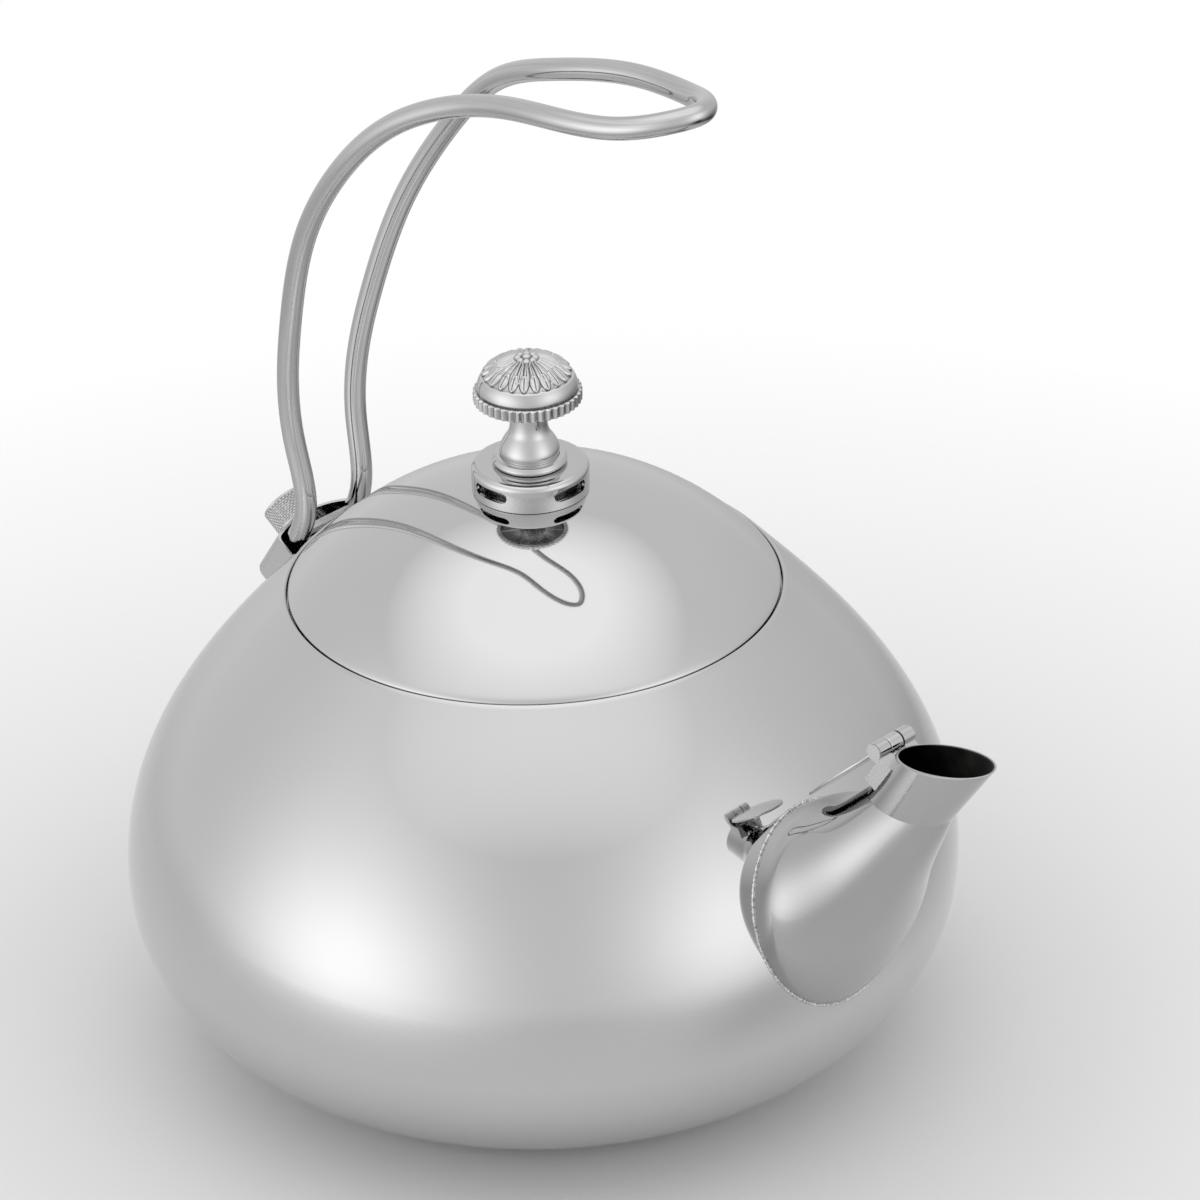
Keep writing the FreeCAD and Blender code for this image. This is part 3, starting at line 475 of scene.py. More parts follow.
# ------------------------------------------------------------------ whistle
# Two thin steel discs with a hole each sit in a ring under the cage. Steam that passes both
# holes makes the note. Their colour is a darker, warm grey: painted shade for their place under the cage.
disc_steel_painted_shade = turned("disc_painted_shade", (0.30, 0.28, 0.26), (0.42, 0.40, 0.38), 0.5, 0.00003, 0.34)
for part in ("whistle_disc_lower", "whistle_disc_upper"):
    finish_node(part, disc_steel_painted_shade)
screw_steel = turned("turned_screw", (0.46, 0.46, 0.465), (0.56, 0.56, 0.565), 0.35, 0.00003, 0.26)
for part in ("knob_stud", "knob_nut", "clamp_nut", "thumb_screw"):
    finish_node(part, screw_steel)

# ------------------------------------------------------------------ knob stem
# The bell-shaped stem is turned from bar: a ring that rests on the cage, a groove, a bulge,
# and a slow curve up to the neck under the cap.
BELL_TOP = 187.0
bell_groove = rounded([(9.1, CAGE_TOP, 0.2), (9.8, CAGE_TOP + 0.9, 0.7), (9.0, CAGE_TOP + 2.1, 0.5),
                       (7.45, CAGE_TOP + 2.45, 0.15)])
bell_rise = cubic([(7.55, CAGE_TOP + 2.7), (8.25, CAGE_TOP + 4.1), (7.2, CAGE_TOP + 6.1),
                   (5.7, CAGE_TOP + 8.2)], 30)
bell_neck = cubic([bell_rise[-1], (4.9, CAGE_TOP + 9.4), (4.4, CAGE_TOP + 11.6),
                   (5.2, BELL_TOP)], 24)[1:]
bell_line = np.vstack([[(BORE, CAGE_TOP)], bell_groove, bell_rise, bell_neck,
                       [(BORE, BELL_TOP)], [(BORE, CAGE_TOP)]])
bell = lathe("knob_stem", bell_line, around=160, sharp=50)
bell.data.materials.append(plated)
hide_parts("knob_bell")
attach(bell, "lid")

# ------------------------------------------------------------------ knob cap
# The cap is die-cast and plated. Its dome carries a flower in relief: a cluster of beads,
# long thin petals round it, a ring of pointed petals, a smooth band, and a fluted rim.
cap_low, cap_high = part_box("knob_cap")
CAP_RADIUS = 14.0
CAP_FOOT, CAP_APEX = cap_low.z / MM, cap_high.z / MM
RIM_HEIGHT = 3.6
DOME_RADIUS = 13.0
FLUTES, FLUTE_DEPTH = 42, 0.6
LONG_PETALS, POINTED_PETALS = 28, 22
BEADS, BEAD_RING, BEAD_SIZE, MIDDLE_BEAD = 8, 2.25, 0.85, 1.15
RELIEF, STEP_DOWN = 0.75, 0.35


def step(value, low, high):
    """0 below low, 1 above high, and a smooth cubic between them."""
    t = np.clip((value - low) / (high - low), 0, 1)
    return t * t * (3 - 2 * t)


def bead(x, y, at_x, at_y, size):
    """A half-round bead: the square root of what its distance leaves of its size."""
    return np.sqrt(np.clip(1 - ((x - at_x) ** 2 + (y - at_y) ** 2) / size ** 2, 0, 1)) * size


def petals(radius, turn, count, start, end, widest, shift):
    """A ring of petals from start to end: across each, a rounded ridge as wide as the petal
    is at that radius, pointed at its end, with a fine vein along its middle."""
    across = ((turn / (2 * np.pi) * count + shift) % 1.0) * 2 - 1
    along = np.clip((radius - start) / (end - start), 0, 1)
    width = np.where(along < widest, 0.72 + 0.28 * along / widest,
                     np.sqrt(np.clip(1 - ((along - widest) / (1 - widest)) ** 2, 0, 1)))
    ridge = np.sqrt(np.clip(1 - (across / np.maximum(width, 1e-3)) ** 2, 0, 1))
    vein = 0.35 * np.exp(-(across / 0.12) ** 2) * step(along, 0.05, 0.3)
    return (ridge - vein) * step(along, 0.0, 0.08) * (along < 1)


def flower(radius, height, turn):
    """The dome's relief over the cap, and the flutes of its rim."""
    x, y = radius * np.cos(turn), radius * np.sin(turn)
    top = height > CAP_FOOT + RIM_HEIGHT + 0.05
    rise = petals(radius, turn, LONG_PETALS, 2.9, 9.8, 0.62, 0.0) * 0.8
    rise = np.maximum(rise, petals(radius, turn, POINTED_PETALS, 7.6, 11.5, 0.35, 0.5))
    beads = bead(x, y, 0, 0, MIDDLE_BEAD)
    for spot in range(BEADS):
        at_x, at_y = BEAD_RING * heading(spot * 360 / BEADS)
        beads = np.maximum(beads, bead(x, y, at_x, at_y, BEAD_SIZE))
    beads = beads * 0.8 + STEP_DOWN * step(-radius, -3.3, -2.8)
    relief = np.maximum(rise * RELIEF, beads) * top - STEP_DOWN * top * step(-radius, -11.9, -11.4)
    lean = np.clip(radius / DOME_RADIUS, 0, 1) * 0.8
    flute = 0.5 - 0.5 * np.cos(turn * FLUTES)
    rim = step(radius, DOME_RADIUS + 0.25, CAP_RADIUS - 0.25) * (height < CAP_FOOT + RIM_HEIGHT)
    cut = rim * FLUTE_DEPTH * (1 - flute)
    return radius + relief * lean - cut, height + relief * np.sqrt(1 - lean ** 2)


rim_top = CAP_FOOT + RIM_HEIGHT
cap_dome = cubic([(0, CAP_APEX - 0.7), (7.2, CAP_APEX - 0.7), (12.6, rim_top + 4.9),
                  (DOME_RADIUS, rim_top + 0.3)], 84)
cap_rim = rounded([(DOME_RADIUS - 0.1, rim_top - 0.3, 0.1), (CAP_RADIUS, rim_top - 0.3, 0.45),
                   (CAP_RADIUS, CAP_FOOT, 0.45), (12.2, CAP_FOOT, 0.3), (12.0, CAP_FOOT + 2.0, 0.2)])
under_cap = np.array([(BORE, CAP_FOOT + 2.0), (BORE, CAP_FOOT + 7.2), (0, CAP_FOOT + 7.2)])
cap_line = np.vstack([cap_dome, cap_rim, under_cap])
cap = lathe("knob_cap_flower", cap_line, around=672, sharp=70, ripple=flower)


def cast(name):
    """Plated casting: its colour is bright on the raised relief and darker in the hollows, which
    is painted shade, with a little random tone. The hollows are also rougher where the buffing
    wheel didn't reach, and the skin is slightly grained from the mould."""
    metal = Finish(name)
    hollow = metal.node("NewGeometry", {}, output="Pointiness")
    open_face = metal.remap(hollow, 0.46, 0.52)
    grain = metal.noise(900.0, 3.0)
    tone = metal.noise(150.0, 2.0)
    # Painted shade: the colour darkens in the hollows of the relief, mixed with a little random tone.
    hollow_shade_and_tone = metal.remap(open_face * 0.8 + tone * 0.2, 0.1, 0.8)
    colour = metal.shade(hollow_shade_and_tone, (0.17, 0.17, 0.175), (0.68, 0.68, 0.685))
    metal.wear(colour, 0.16 - open_face * 0.10 + grain * 0.04, metal.bump(grain, 0.35, 0.00002))
    return metal.material


cap.data.materials.append(cast("plated_casting_painted_shade"))
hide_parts("knob_cap")
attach(cap, "lid")

# ------------------------------------------------------------------ spout bulb
# The spout's lower half is pressed in two shells, seam-welded and ground flush. It swells
# from its root on the body to a shoulder, and narrows up to the crease under the tip. Each
# station gives the share of the reach and of the rise from root to tip, the lean of the
# section's axis in degrees, and its half height and half width as shares of the radius.
BULB_ROOT = (90.0, 73.5)
TIP_FOOT = (130.3, 116.8)
BULB_RADIUS = 24.0
BULB_STATIONS = ((0.0, 0.0, 18.0, 0.96, 0.96), (0.22, 0.033, 16.0, 1.11, 1.04),
                 (0.45, 0.237, 24.0, 0.97, 1.1), (0.715, 0.596, 49.0, 0.62, 0.71))
FOOT_LEAN, FOOT_LONG, FOOT_WIDE = 86.0, 12.2, 8.3
MOUTH = (141.8, 133.2)
MOUTH_LEAN, MOUTH_LONG, MOUTH_WIDE = 98.6, 14.9, 8.3
AROUND = 160


def smooth_through(places, values, wanted):
    """A natural cubic spline through values at places: the second derivatives solve the
    usual three-term equations, and each span is a cubic between its two ends."""
    places, values = np.array(places, float), np.array(values, float)
    gap = np.diff(places)
    count = len(places)
    matrix = np.eye(count)
    wall = np.zeros((count, values.shape[1]))
    inner = np.arange(1, count - 1)
    matrix[inner, inner - 1] = gap[:-1]
    matrix[inner, inner] = 2 * (gap[:-1] + gap[1:])
    matrix[inner, inner + 1] = gap[1:]
    slope = np.diff(values, axis=0) / gap[:, None]
    wall[1:-1] = 6 * np.diff(slope, axis=0)
    bend = np.linalg.solve(matrix, wall)
    span = np.clip(np.searchsorted(places, wanted, "right") - 1, 0, count - 2)
    width, t = gap[span][:, None], (wanted - places[span])[:, None]
    low, high = bend[span], bend[span + 1]
    first = slope[span] - width * (2 * low + high) / 6
    return values[span] + first * t + low / 2 * t ** 2 + (high - low) / (6 * width) * t ** 3


def ovals(centre, lean, long_half, wide_half, turn):
    """Ellipses square to a leaning axis in the XZ plane: up the section by cos, across by sin."""
    lean = np.radians(lean)
    up = np.stack([-np.sin(lean), np.zeros_like(lean), np.cos(lean)], -1)[:, None, :]
    middle = np.stack([centre[:, 0], np.zeros(len(centre)), centre[:, 1]], -1)[:, None, :]
    long_half, wide_half = long_half[:, None, None], wide_half[:, None, None]
    rise = up * long_half * np.cos(turn)[None, :, None]
    return middle + rise + np.array([0, 1, 0]) * wide_half * np.sin(turn)[None, :, None]


reach = np.subtract(TIP_FOOT, BULB_ROOT)
stations = [[BULB_ROOT[0] + run * reach[0], BULB_ROOT[1] + rise * reach[1], lean,
             tall * BULB_RADIUS, wide * BULB_RADIUS]
            for run, rise, lean, tall, wide in BULB_STATIONS]
stations = np.array(stations + [[*TIP_FOOT, FOOT_LEAN, FOOT_LONG, FOOT_WIDE]])
station_at = np.concatenate([[0], np.cumsum(np.hypot(*np.diff(stations[:, :2], axis=0).T))])


def bulb_points(share, grow, turn):
    """The bulb's surface: ovals whose place, lean and size follow splines along the bulb."""
    row = smooth_through(station_at, stations, share * station_at[-1])
    return ovals(row[:, :2], row[:, 2], row[:, 3] + grow, row[:, 4] + grow, turn)


def on_body(height):
    """The body's outer radius at a height."""
    line = body_outline(0)
    return np.interp(height, line[:, 1], line[:, 0])


def from_body(grow, rows, turn, depth=0.0):
    """The bulb's surface from where each line along it leaves the body: the crossing is
    found on a fine row of samples, and the rows are spread between it and the top."""
    fine = np.linspace(0, 0.9, 500)
    grid = bulb_points(fine, grow, turn)
    inside_by = on_body(grid[..., 2]) - depth - np.hypot(grid[..., 0], grid[..., 1])
    last = len(fine) - 1 - np.argmax(inside_by[::-1] > 0, axis=0)
    column = np.arange(len(turn))
    near, far = inside_by[last, column], inside_by[np.minimum(last + 1, len(fine) - 1), column]
    start = fine[last] + (fine[1] - fine[0]) * near / np.maximum(near - far, 1e-9)
    shares = start[None, :] + (1 - start[None, :]) * np.linspace(0, 1, rows)[:, None]
    flat = bulb_points(shares.ravel(), grow, turn)
    spread = np.arange(rows * len(turn))
    return flat[spread, np.tile(column, rows)].reshape(rows, len(turn), 3)


turn = np.linspace(0, 2 * np.pi, AROUND, endpoint=False)
bulb_out = from_body(0.0, 110, turn, SHEET / 2)
bulb_in = from_body(-SHEET, 70, turn, SHEET / 2)[::-1]
bulb = skin("spout_lower", np.concatenate([bulb_out, bulb_in]), loop=True, sharp=60)
# The spout's steel is coloured darker than the body's sheet: painted shade, for the dimmer light that the
# spout reflects.
spout_steel_painted_shade = polished("polished_spout_painted_shade", (0.465, 0.465, 0.470), (0.510, 0.510, 0.515),
                       0.04, 0.04, 0.00010, 0.3)
bulb.data.materials.append(spout_steel_painted_shade)
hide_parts("spout_bulb")
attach(bulb, "kettle")

# ------------------------------------------------------------------ spout tip
# The tip is an oval tube that flares to the mouth. It is soldered on the bulb along a
# crease, and its edge is cut square and deburred.


def tip_points(share, grow, turn):
    """The tip: straight lines from the oval of its foot to the oval of its mouth."""
    ends = np.array([[*TIP_FOOT, FOOT_LEAN, FOOT_LONG, FOOT_WIDE],
                     [*MOUTH, MOUTH_LEAN, MOUTH_LONG, MOUTH_WIDE]])
    both = ovals(ends[:, :2], ends[:, 2], ends[:, 3] + grow, ends[:, 4] + grow, turn)
    low, high = both[:1], both[1:]
    share = share[:, None, None]
    return low * (1 - share) + high * share


LIP_SHARE = 0.012     # share of the tip's length that the round of its edge takes up
wall_round = np.linspace(0, np.pi, 7)[1:-1]
lip_grow = -SHEET / 2 + SHEET / 2 * np.cos(wall_round)
lip_rise = 1 - LIP_SHARE + LIP_SHARE * np.sin(wall_round)
tip_rows = np.append(np.linspace(0, 0.97, 30), 1 - LIP_SHARE)
tip_out = tip_points(tip_rows, 0.0, turn)
tip_in = tip_points(tip_rows[::-1], -SHEET, turn)
tip_lip = np.concatenate([tip_points(np.array([rise]), grow, turn)
                          for rise, grow in zip(lip_rise, lip_grow)])
tip = skin("spout_upper", np.concatenate([tip_out, tip_lip, tip_in]), loop=True, sharp=60)
tip.data.materials.append(spout_steel_painted_shade)


def painted_shade_inside(name):
    """The inside of the spout: unpolished steel, dulled by steam and scale. Its near-black colour, patchy
    with noise, is painted shade inside the tube.
    """
    steel = Finish(name)
    scale = steel.noise(120.0, 4.0)
    colour = steel.shade(steel.remap(scale, 0.35, 0.7), (0.035, 0.034, 0.033), (0.08, 0.077, 0.074))
    steel.wear(colour, steel.remap(scale, 0.3, 0.7, 0.42, 0.6), steel.bump(scale, 0.5, 0.00008))
    return steel.material


LIP_ROWS = 3          # rows of the round edge that are still polished
# The inner rows of both spout shells take the near-black painted shade of the inside.
inside_steel_painted_shade = painted_shade_inside("dull_inside_painted_shade")
for shell, outer_rows in ((tip, len(tip_out) + LIP_ROWS), (bulb, len(bulb_out))):
    shell.data.materials.append(inside_steel_painted_shade)
    spot = np.arange(len(shell.data.polygons))
    shell.data.polygons.foreach_set("material_index", (spot >= outer_rows * AROUND).astype(np.int32))
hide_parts("spout_tip")
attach(tip, "kettle")

# ------------------------------------------------------------------ spout weld
# A bead of weld runs round the spout where it meets the body. It was ground a little and
# polished, so it is bright, but still lumpy.


def beaded(name, path, radii, sides):
    """A closed tube round a closed path: each ring is square to the path, and its radius
    follows the row of radii."""
    ahead = np.roll(path, -1, 0) - np.roll(path, 1, 0)
    ahead /= np.linalg.norm(ahead, axis=1)[:, None]
    side = np.cross(ahead, path - path.mean(0))
    side /= np.linalg.norm(side, axis=1)[:, None]
    up = np.cross(side, ahead)
    sweep = np.linspace(0, 2 * np.pi, sides, endpoint=False)[None, :, None]
    rings = side[:, None, :] * np.cos(sweep) + up[:, None, :] * np.sin(sweep)
    return skin(name, path[:, None, :] + rings * radii[:, None, None], loop=True)


BEAD_STEPS, BEAD_RADIUS, BEAD_LUMP = 1400, 0.42, 0.05
bead_turn = np.linspace(0, 2 * np.pi, BEAD_STEPS, endpoint=False)
root_line = from_body(0.1, 2, bead_turn)[0]
lumps = np.random.default_rng(7)
bead_size = BEAD_RADIUS + sum(BEAD_LUMP * np.sin(bead_turn * count + lumps.uniform(0, 6.3))
                              for count in (61, 97, 131, 173, 229)) / 1.6
weld = beaded("spout_weld_bead", root_line, bead_size, 12)


def ground_weld(name):
    """Weld metal that was ground and polished: ripples across the bead, bright where the
    wheel passed, greyer in its pits."""
    metal = Finish(name)
    pits = metal.noise(1400.0, 4.0)
    ripples = metal.noise(420.0, 2.0)
    colour = metal.shade(metal.remap(pits, 0.35, 0.6), (0.34, 0.33, 0.33), (0.72, 0.72, 0.72))
    metal.wear(colour, metal.remap(pits, 0.3, 0.7, 0.34, 0.14),
               metal.bump(pits * 0.5 + ripples, 0.6, 0.00008))
    return metal.material


weld.data.materials.append(ground_weld("ground_weld"))
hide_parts("spout_weld")
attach(weld, "kettle")

# ------------------------------------------------------------------ hinge and flap
# A leaf with two knuckles is welded behind the mouth, and a riveted pin holds the flap's own
# knuckle between them. The flap is a thin oval plate on a strap that curls round the pin.
hinge_steel = polished("polished_hinge", (0.54, 0.54, 0.545), (0.60, 0.60, 0.605),
                       0.09, 0.05, 0.00002, 0.2)
for part in ("hinge_bracket", "hinge_pin"):
    finish_node(part, hinge_steel)
flap_joint = next(joint for joint in frame["joints"] if joint["name"] == "flap_swing")
HINGE_AXIS = np.array(flap_joint["pos_m"]) / MM
FLAP_TURN = np.radians(MOUTH_LEAN - 90 + flap_joint["range_deg"][1])
FLAP_WALL = 0.8
PLATE_LOW = -0.7
KNUCKLE_RADIUS, KNUCKLE_BORE, STRAP_HALF = 2.4, 1.25, 2.15


def opened(points):
    """Points of the shut flap, in its own frame on the hinge axis, turned to its open place:
    x' = x cos a - z sin a and z' = x sin a + z cos a."""
    x, y, z = np.moveaxis(points, -1, 0)
    back = np.stack([x * np.cos(FLAP_TURN) - z * np.sin(FLAP_TURN), y,
                     x * np.sin(FLAP_TURN) + z * np.cos(FLAP_TURN)], -1)
    return back + HINGE_AXIS


PLATE_BACK = KNUCKLE_RADIUS + 0.6
PLATE_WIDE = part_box("spout_flap")[1].y / MM
mouth_run = np.hypot(MOUTH[0] - HINGE_AXIS[0], MOUTH[1] - HINGE_AXIS[2])
PLATE_FRONT = mouth_run + MOUTH_LONG + 1.0
EDGE_SHARE, DISH = 0.028, 0.35
edge_sweep = np.linspace(-np.pi / 2, np.pi / 2, 9)
flat_share = np.linspace(0, 0.94, 9)
plate_share = np.concatenate([flat_share, 1 - EDGE_SHARE + EDGE_SHARE * np.cos(edge_sweep),
                              flat_share[::-1]])
plate_height = np.concatenate([np.full(9, -1.0), np.sin(edge_sweep), np.full(9, 1.0)])
plate_height *= FLAP_WALL / 2
dish = DISH * (plate_share ** 2 - 1)
oval_turn = np.linspace(0, 2 * np.pi, 128, endpoint=False)
plate_half = (PLATE_FRONT - PLATE_BACK) / 2
plate_x = PLATE_BACK + plate_half + plate_half * plate_share[:, None] * np.cos(oval_turn)
plate_y = PLATE_WIDE * plate_share[:, None] * np.sin(oval_turn)
plate_z = (PLATE_LOW + FLAP_WALL / 2 + plate_height + dish + 0.3)[:, None] * np.ones(len(oval_turn))
flap = skin("flap_plate", opened(np.stack([plate_x, plate_y, plate_z], -1)), sharp=50)
flap_steel = polished("polished_flap", (0.585, 0.585, 0.590), (0.630, 0.630, 0.635),
                      0.07, 0.06, 0.00005, 0.2)
flap.data.materials.append(flap_steel)

knuckle_turn = np.linspace(0, 2 * np.pi, 72, endpoint=False)
barrel_line = rounded([(KNUCKLE_BORE, -STRAP_HALF, 0.1), (KNUCKLE_RADIUS, -STRAP_HALF, 0.3),
                       (KNUCKLE_RADIUS, STRAP_HALF, 0.3), (KNUCKLE_BORE, STRAP_HALF, 0.1)])
barrel = np.stack([barrel_line[:, 0, None] * np.cos(knuckle_turn),
                   barrel_line[:, 1, None] * np.ones(len(knuckle_turn)),
                   barrel_line[:, 0, None] * np.sin(knuckle_turn)], -1)
knuckle = skin("flap_knuckle", opened(barrel), loop=True, sharp=50)
neck_line = rounded([(0.6, PLATE_LOW, 0.1), (PLATE_BACK + 3.0, PLATE_LOW, 0.2),
                     (PLATE_BACK + 3.0, PLATE_LOW + FLAP_WALL, 0.2), (0.6, PLATE_LOW + FLAP_WALL, 0.1)])
hub = np.tile(neck_line.mean(0), (len(neck_line), 1))
neck_rows = [(hub, -1.0), (neck_line, -1.0), (neck_line, -0.9),
             (neck_line, 0.9), (neck_line, 1.0), (hub, 1.0)]
neck_half = STRAP_HALF - 0.1
neck_grid = np.stack([np.stack([line[:, 0], np.full(len(line), side * neck_half), line[:, 1]], -1)
                      for line, side in neck_rows])
strap = skin("flap_strap", opened(neck_grid), sharp=40)
for piece in (knuckle, strap):
    piece.data.materials.append(flap_steel)
for piece in (flap, knuckle, strap):
    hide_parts("spout_flap")
    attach(piece, "flap")

# ------------------------------------------------------------------ handle bracket
# The bracket is folded from thin sheet and welded to the shoulder. A pad under the tongue
# and a nut under the roof are welded inside it.
bracket_steel = polished("polished_bracket", (0.585, 0.585, 0.590), (0.625, 0.625, 0.63),
                         0.09, 0.06, 0.00004, 0.2)
finish_node("handle_bracket", bracket_steel)
for part in ("bracket_pad", "handle_tongue"):
    finish_node(part, strip_steel)

# ------------------------------------------------------------------ thumb screw
# The screw's round head is turned, with its edge broken, and carries a diamond knurl.
thumb_joint = next(joint for joint in frame["joints"] if joint["name"] == "thumb_turn")
SCREW_FOOT = np.array(thumb_joint["pos_m"]) / MM
SCREW_AXIS = np.array(thumb_joint["axis"]) / np.linalg.norm(thumb_joint["axis"])
THUMB_RADIUS, THUMB_LOW, THUMB_HIGH = 6.5, 8.5, 16.1
KNURLS = 34
KNURL_DEPTH = 0.36


def knurl(radius, height, turn):
    """Two crossed sets of V grooves that wind both ways round the head: the surface is
    lowered by the deeper one, which leaves small pyramids."""
    pitch = 2 * np.pi * THUMB_RADIUS / KNURLS
    one = np.abs((turn * KNURLS / (2 * np.pi) + height / pitch) % 1.0 - 0.5) * 2
    other = np.abs((turn * KNURLS / (2 * np.pi) - height / pitch) % 1.0 - 0.5) * 2
    groove = np.maximum(one, other) ** 1.5
    side = step(radius, THUMB_RADIUS - 0.05, THUMB_RADIUS)
    ends = (step(height, THUMB_LOW + 0.7, THUMB_LOW + 1.0)
            * step(-height, -THUMB_HIGH + 0.7, -THUMB_HIGH + 1.0))
    return radius - groove * KNURL_DEPTH * side * ends, height


def on_screw(points):
    """Points of a turned piece carried from +Z to the screw's axis."""
    across = np.cross(SCREW_AXIS, (0, 1, 0))
    return (SCREW_FOOT + points[..., :1] * across + points[..., 1:2] * np.array((0, 1, 0))
            + points[..., 2:] * SCREW_AXIS)


knurl_rise = np.linspace(THUMB_LOW + 0.55, THUMB_HIGH - 0.55, 90)
head_side = np.stack([np.full(len(knurl_rise), THUMB_RADIUS), knurl_rise], -1)
end_radius = THUMB_RADIUS - 0.1
head_low = rounded([(2.0, THUMB_LOW, 0), (end_radius, THUMB_LOW, 0.4), (end_radius, THUMB_LOW + 0.5, 0)])
head_high = rounded([(end_radius, THUMB_HIGH - 0.5, 0), (end_radius, THUMB_HIGH, 0.35), (0, THUMB_HIGH, 0)])
head_line = np.vstack([[(0, THUMB_LOW)], head_low, head_side, head_high])
head_turn = np.linspace(0, 2 * np.pi, KNURLS * 12, endpoint=False)
all_round = np.ones(len(head_turn))
head_radius, head_height = knurl(head_line[:, :1] * all_round, head_line[:, 1:] * all_round,
                                 head_turn[None, :])
head_points = np.stack([head_radius * np.cos(head_turn), head_radius * np.sin(head_turn), head_height], -1)
head = skin("thumb_head", on_screw(head_points), sharp=75)


def knurled(name):
    """Knurled steel: pyramid tips rubbed bright and grooves duller; the colour darkens in the grooves,
    which is painted shade.
    """
    steel = Finish(name)
    hollow = steel.node("NewGeometry", {}, output="Pointiness")
    tips = steel.remap(hollow, 0.44, 0.56)
    grain = steel.noise(1200.0, 2.0)
    # Painted shade: the colour darkens in the grooves, while the bright tips are rubbed metal.
    colour = steel.shade(tips, (0.34, 0.34, 0.345), (0.68, 0.68, 0.685))
    steel.wear(colour, 0.30 - tips * 0.14 + grain * 0.05, steel.bump(grain, 0.3, 0.00002))
    return steel.material


head.data.materials.append(knurled("knurled_steel"))
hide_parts("thumb_knob")
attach(head, "thumb")

# ------------------------------------------------------------------ handle rod
# One steel rod is bent into both legs and the grip. It was drawn and then polished along its
# length, which leaves long faint streaks.
ROD_RADIUS = 2.9
GRIP = np.array([62.0, 282.4])
ROD_SPREAD = 10.3
BRACKET_SLOPE = 55.4
BRACKET_FOOT = np.array([-83.2, 112.0])
# shares of the run and the rise from the rod's end to the grip, and the distance from the middle
LEG = ((0.046, 0.072, 10.2), (0.035, 0.202, 11.2), (0.07, 0.431, 14.8), (0.142, 0.6, 18.0),
       (0.255, 0.75, 19.8), (0.395, 0.867, 17.8), (0.565, 0.933, 14.6), (0.737, 0.965, 16.2),
       (0.896, 0.978, 13.2), (0.976, 0.994, 6.4))


def on_bracket(up_slope, out):
    """A point of the bracket's frame in X and Z."""
    return BRACKET_FOOT + heading(BRACKET_SLOPE) * up_slope + heading(BRACKET_SLOPE + 90) * out


rod_end, rod_bend = on_bracket(5.0, 2.4), on_bracket(9.5, 2.1)
leg = np.array([[*rod_end, ROD_SPREAD], [*rod_bend, ROD_SPREAD]]
               + [[*(rod_end + (GRIP - rod_end) * (along, rise)), spread] for along, rise, spread in LEG])
near, far = leg * (1, 1, -1), leg[::-1]
rod_stations = np.vstack([near, [[*GRIP, 0.0]], far])[:, [0, 2, 1]]
rod_at = np.concatenate([[0], np.cumsum(np.linalg.norm(np.diff(rod_stations, axis=0), axis=1))])
rod_path = smooth_through(rod_at, rod_stations, np.linspace(0, rod_at[-1], 700))


CAP_ROWS = 6          # rows of points on each rounded end
STREAK_PACE = 0.02    # how fast the streaks change along the rod, against round it


def tube(name, path, radius, sides, heart):
    """An open path with a round tube on it and rounded ends: each ring is square to the
    path, and its first point lies away from a line under the path, so it doesn't twist.
    The streak of a point is its place round the tube and, scaled down, along it."""
    ahead = np.gradient(path, axis=0)
    ahead /= np.linalg.norm(ahead, axis=1)[:, None]
    away = (path - np.array(heart)) * (1, 0, 1)
    side = np.cross(ahead, away)
    side /= np.linalg.norm(side, axis=1)[:, None]
    up = np.cross(side, ahead)
    cap = np.linspace(0, np.pi / 2, CAP_ROWS + 1)[1:]
    shrink = np.concatenate([np.cos(cap[::-1]), np.ones(len(path)), np.cos(cap)])
    slip = np.concatenate([-np.sin(cap[::-1]), np.zeros(len(path)), np.sin(cap)]) * radius * 0.5
    row = np.concatenate([np.zeros(CAP_ROWS, int), np.arange(len(path)), np.full(CAP_ROWS, len(path) - 1)])
    sweep = np.linspace(0, 2 * np.pi, sides, endpoint=False)[None, :, None]
    rings = side[row][:, None, :] * np.cos(sweep) + up[row][:, None, :] * np.sin(sweep)
    centre = path[row] + ahead[row] * slip[:, None]
    length = np.concatenate([[0], np.cumsum(np.linalg.norm(np.diff(path, axis=0), axis=1))])[row]
    around = sweep[..., 0]
    streak = np.stack(np.broadcast_arrays(np.cos(around) * radius, np.sin(around) * radius,
                                          length[:, None] * STREAK_PACE), -1)
    return skin(name, centre[:, None, :] + rings * (radius * shrink)[:, None, None], field=streak)


rod = tube("handle", rod_path, ROD_RADIUS, 40, (0, 0, 180))


def drawn(name):
    """Drawn and polished rod: streaks that follow its length, with hazy and clear stretches."""
    steel = Finish(name)
    along = steel.node("Attribute", {"attribute_name": "streak"}, output="Vector")
    streaks = steel.noise(1.6, 4.0, vector=along)
    fine = steel.noise(5.0, 2.0, vector=along)
    haze = steel.noise(22.0, 2.0)
    colour = steel.shade(steel.remap(streaks, 0.35, 0.65), (0.52, 0.52, 0.525), (0.60, 0.60, 0.605))
    rough = steel.remap(streaks * 0.5 + haze * 0.5, 0.35, 0.65, 0.04, 0.09)
    steel.wear(colour, rough, steel.bump(streaks * 0.6 + fine * 0.4, 0.1, 0.000006))
    return steel.material


rod.data.materials.append(drawn("drawn_rod"))
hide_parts("handle_rod")
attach(rod, "handle")

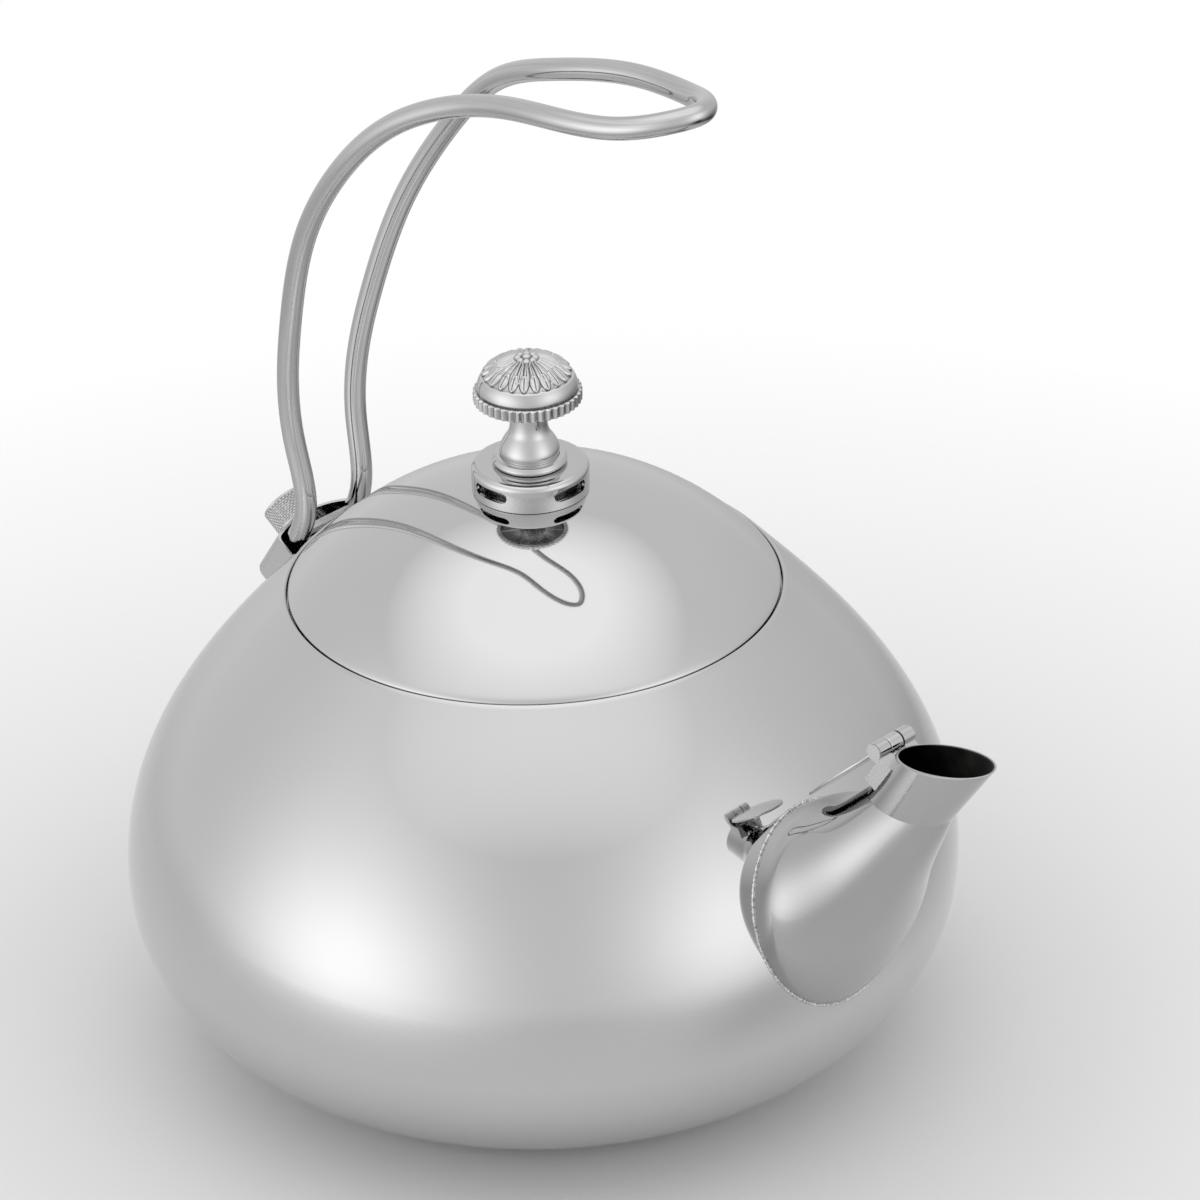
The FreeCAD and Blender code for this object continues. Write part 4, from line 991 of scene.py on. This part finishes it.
# ------------------------------------------------------------------ studio
# A pale floor that fades out far away, a white tent that is brighter overhead, two soft boxes
# at the height of the kettle, two dark cards low down, and a camera with a long lens.
floor_mesh = bpy.data.meshes.new("floor")
disc = bmesh.new()
bmesh.ops.create_circle(disc, cap_ends=True, segments=96, radius=6.0)
disc.to_mesh(floor_mesh)
disc.free()
floor = bpy.data.objects.new("floor", floor_mesh)
bpy.context.scene.collection.objects.link(floor)
paper = Finish("pale_floor")
fibre = paper.noise(6.0, 2.0)
x, y, z = paper.axes()
paper.wear(paper.shade(fibre, (0.75, 0.75, 0.75), (0.78, 0.78, 0.78)), 0.9, metallic=0.0)
fade = paper.remap((x * x + y * y) ** 0.5, 150.0, 420.0, 1.0, 0.0)
paper.links.new(fade.socket, paper.shader.inputs["Alpha"])
floor.data.materials.append(paper.material)

world = bpy.data.worlds.new("tent")
bpy.context.scene.world = world
world.use_nodes = True
tent = Finish("tent", world.node_tree)
sky_way = tent.node("TexCoord", {}, output="Generated")


def soft_box(azimuth, elevation, tightness, strength):
    """A round soft light in one direction, or a dark card where it is taken away: the cosine
    of the angle from it, raised to a power."""
    flat, rise = heading(azimuth) * np.cos(np.radians(elevation)), np.sin(np.radians(elevation))
    facing = tent.node("VectorMath", {"operation": "DOT_PRODUCT"}, [sky_way, (*flat, rise)],
                       output="Value")
    return facing.maths("MAXIMUM", 0.0) ** tightness * strength


up_way = tent.node("SeparateXYZ", {}, [sky_way], output="Z")
light = tent.remap(up_way, 0.68, 0.93, 0.78, 1.28) - tent.remap(up_way, -0.05, -0.7, 0.0, 0.34)
light = light + soft_box(-100, 4, 6.0, 0.80) + soft_box(8, 14, 9.0, 0.62)
light = light - soft_box(72, -42, 3.5, 0.50) - soft_box(12, -30, 26.0, 0.45)
seen = tent.node("LightPath", {}, output="Is Camera Ray")
light = light.maths("MAXIMUM", 0.03) * (1 - seen) + seen
background = world.node_tree.nodes["Background"]
tent.links.new(light.socket, background.inputs["Strength"])
background.inputs["Color"].default_value = (1, 1, 1, 1)

camera_data = bpy.data.cameras.new("camera")
camera_data.lens, camera_data.sensor_width = 181.72, 36.0
camera = bpy.data.objects.new("camera", camera_data)
bpy.context.scene.collection.objects.link(camera)
camera.location = (0.98671, -0.96285, 0.88082)
camera.rotation_euler = np.radians((61.2876, 1.4842, 44.1872))
bpy.context.scene.camera = camera
bpy.context.scene.view_settings.view_transform = "Standard"
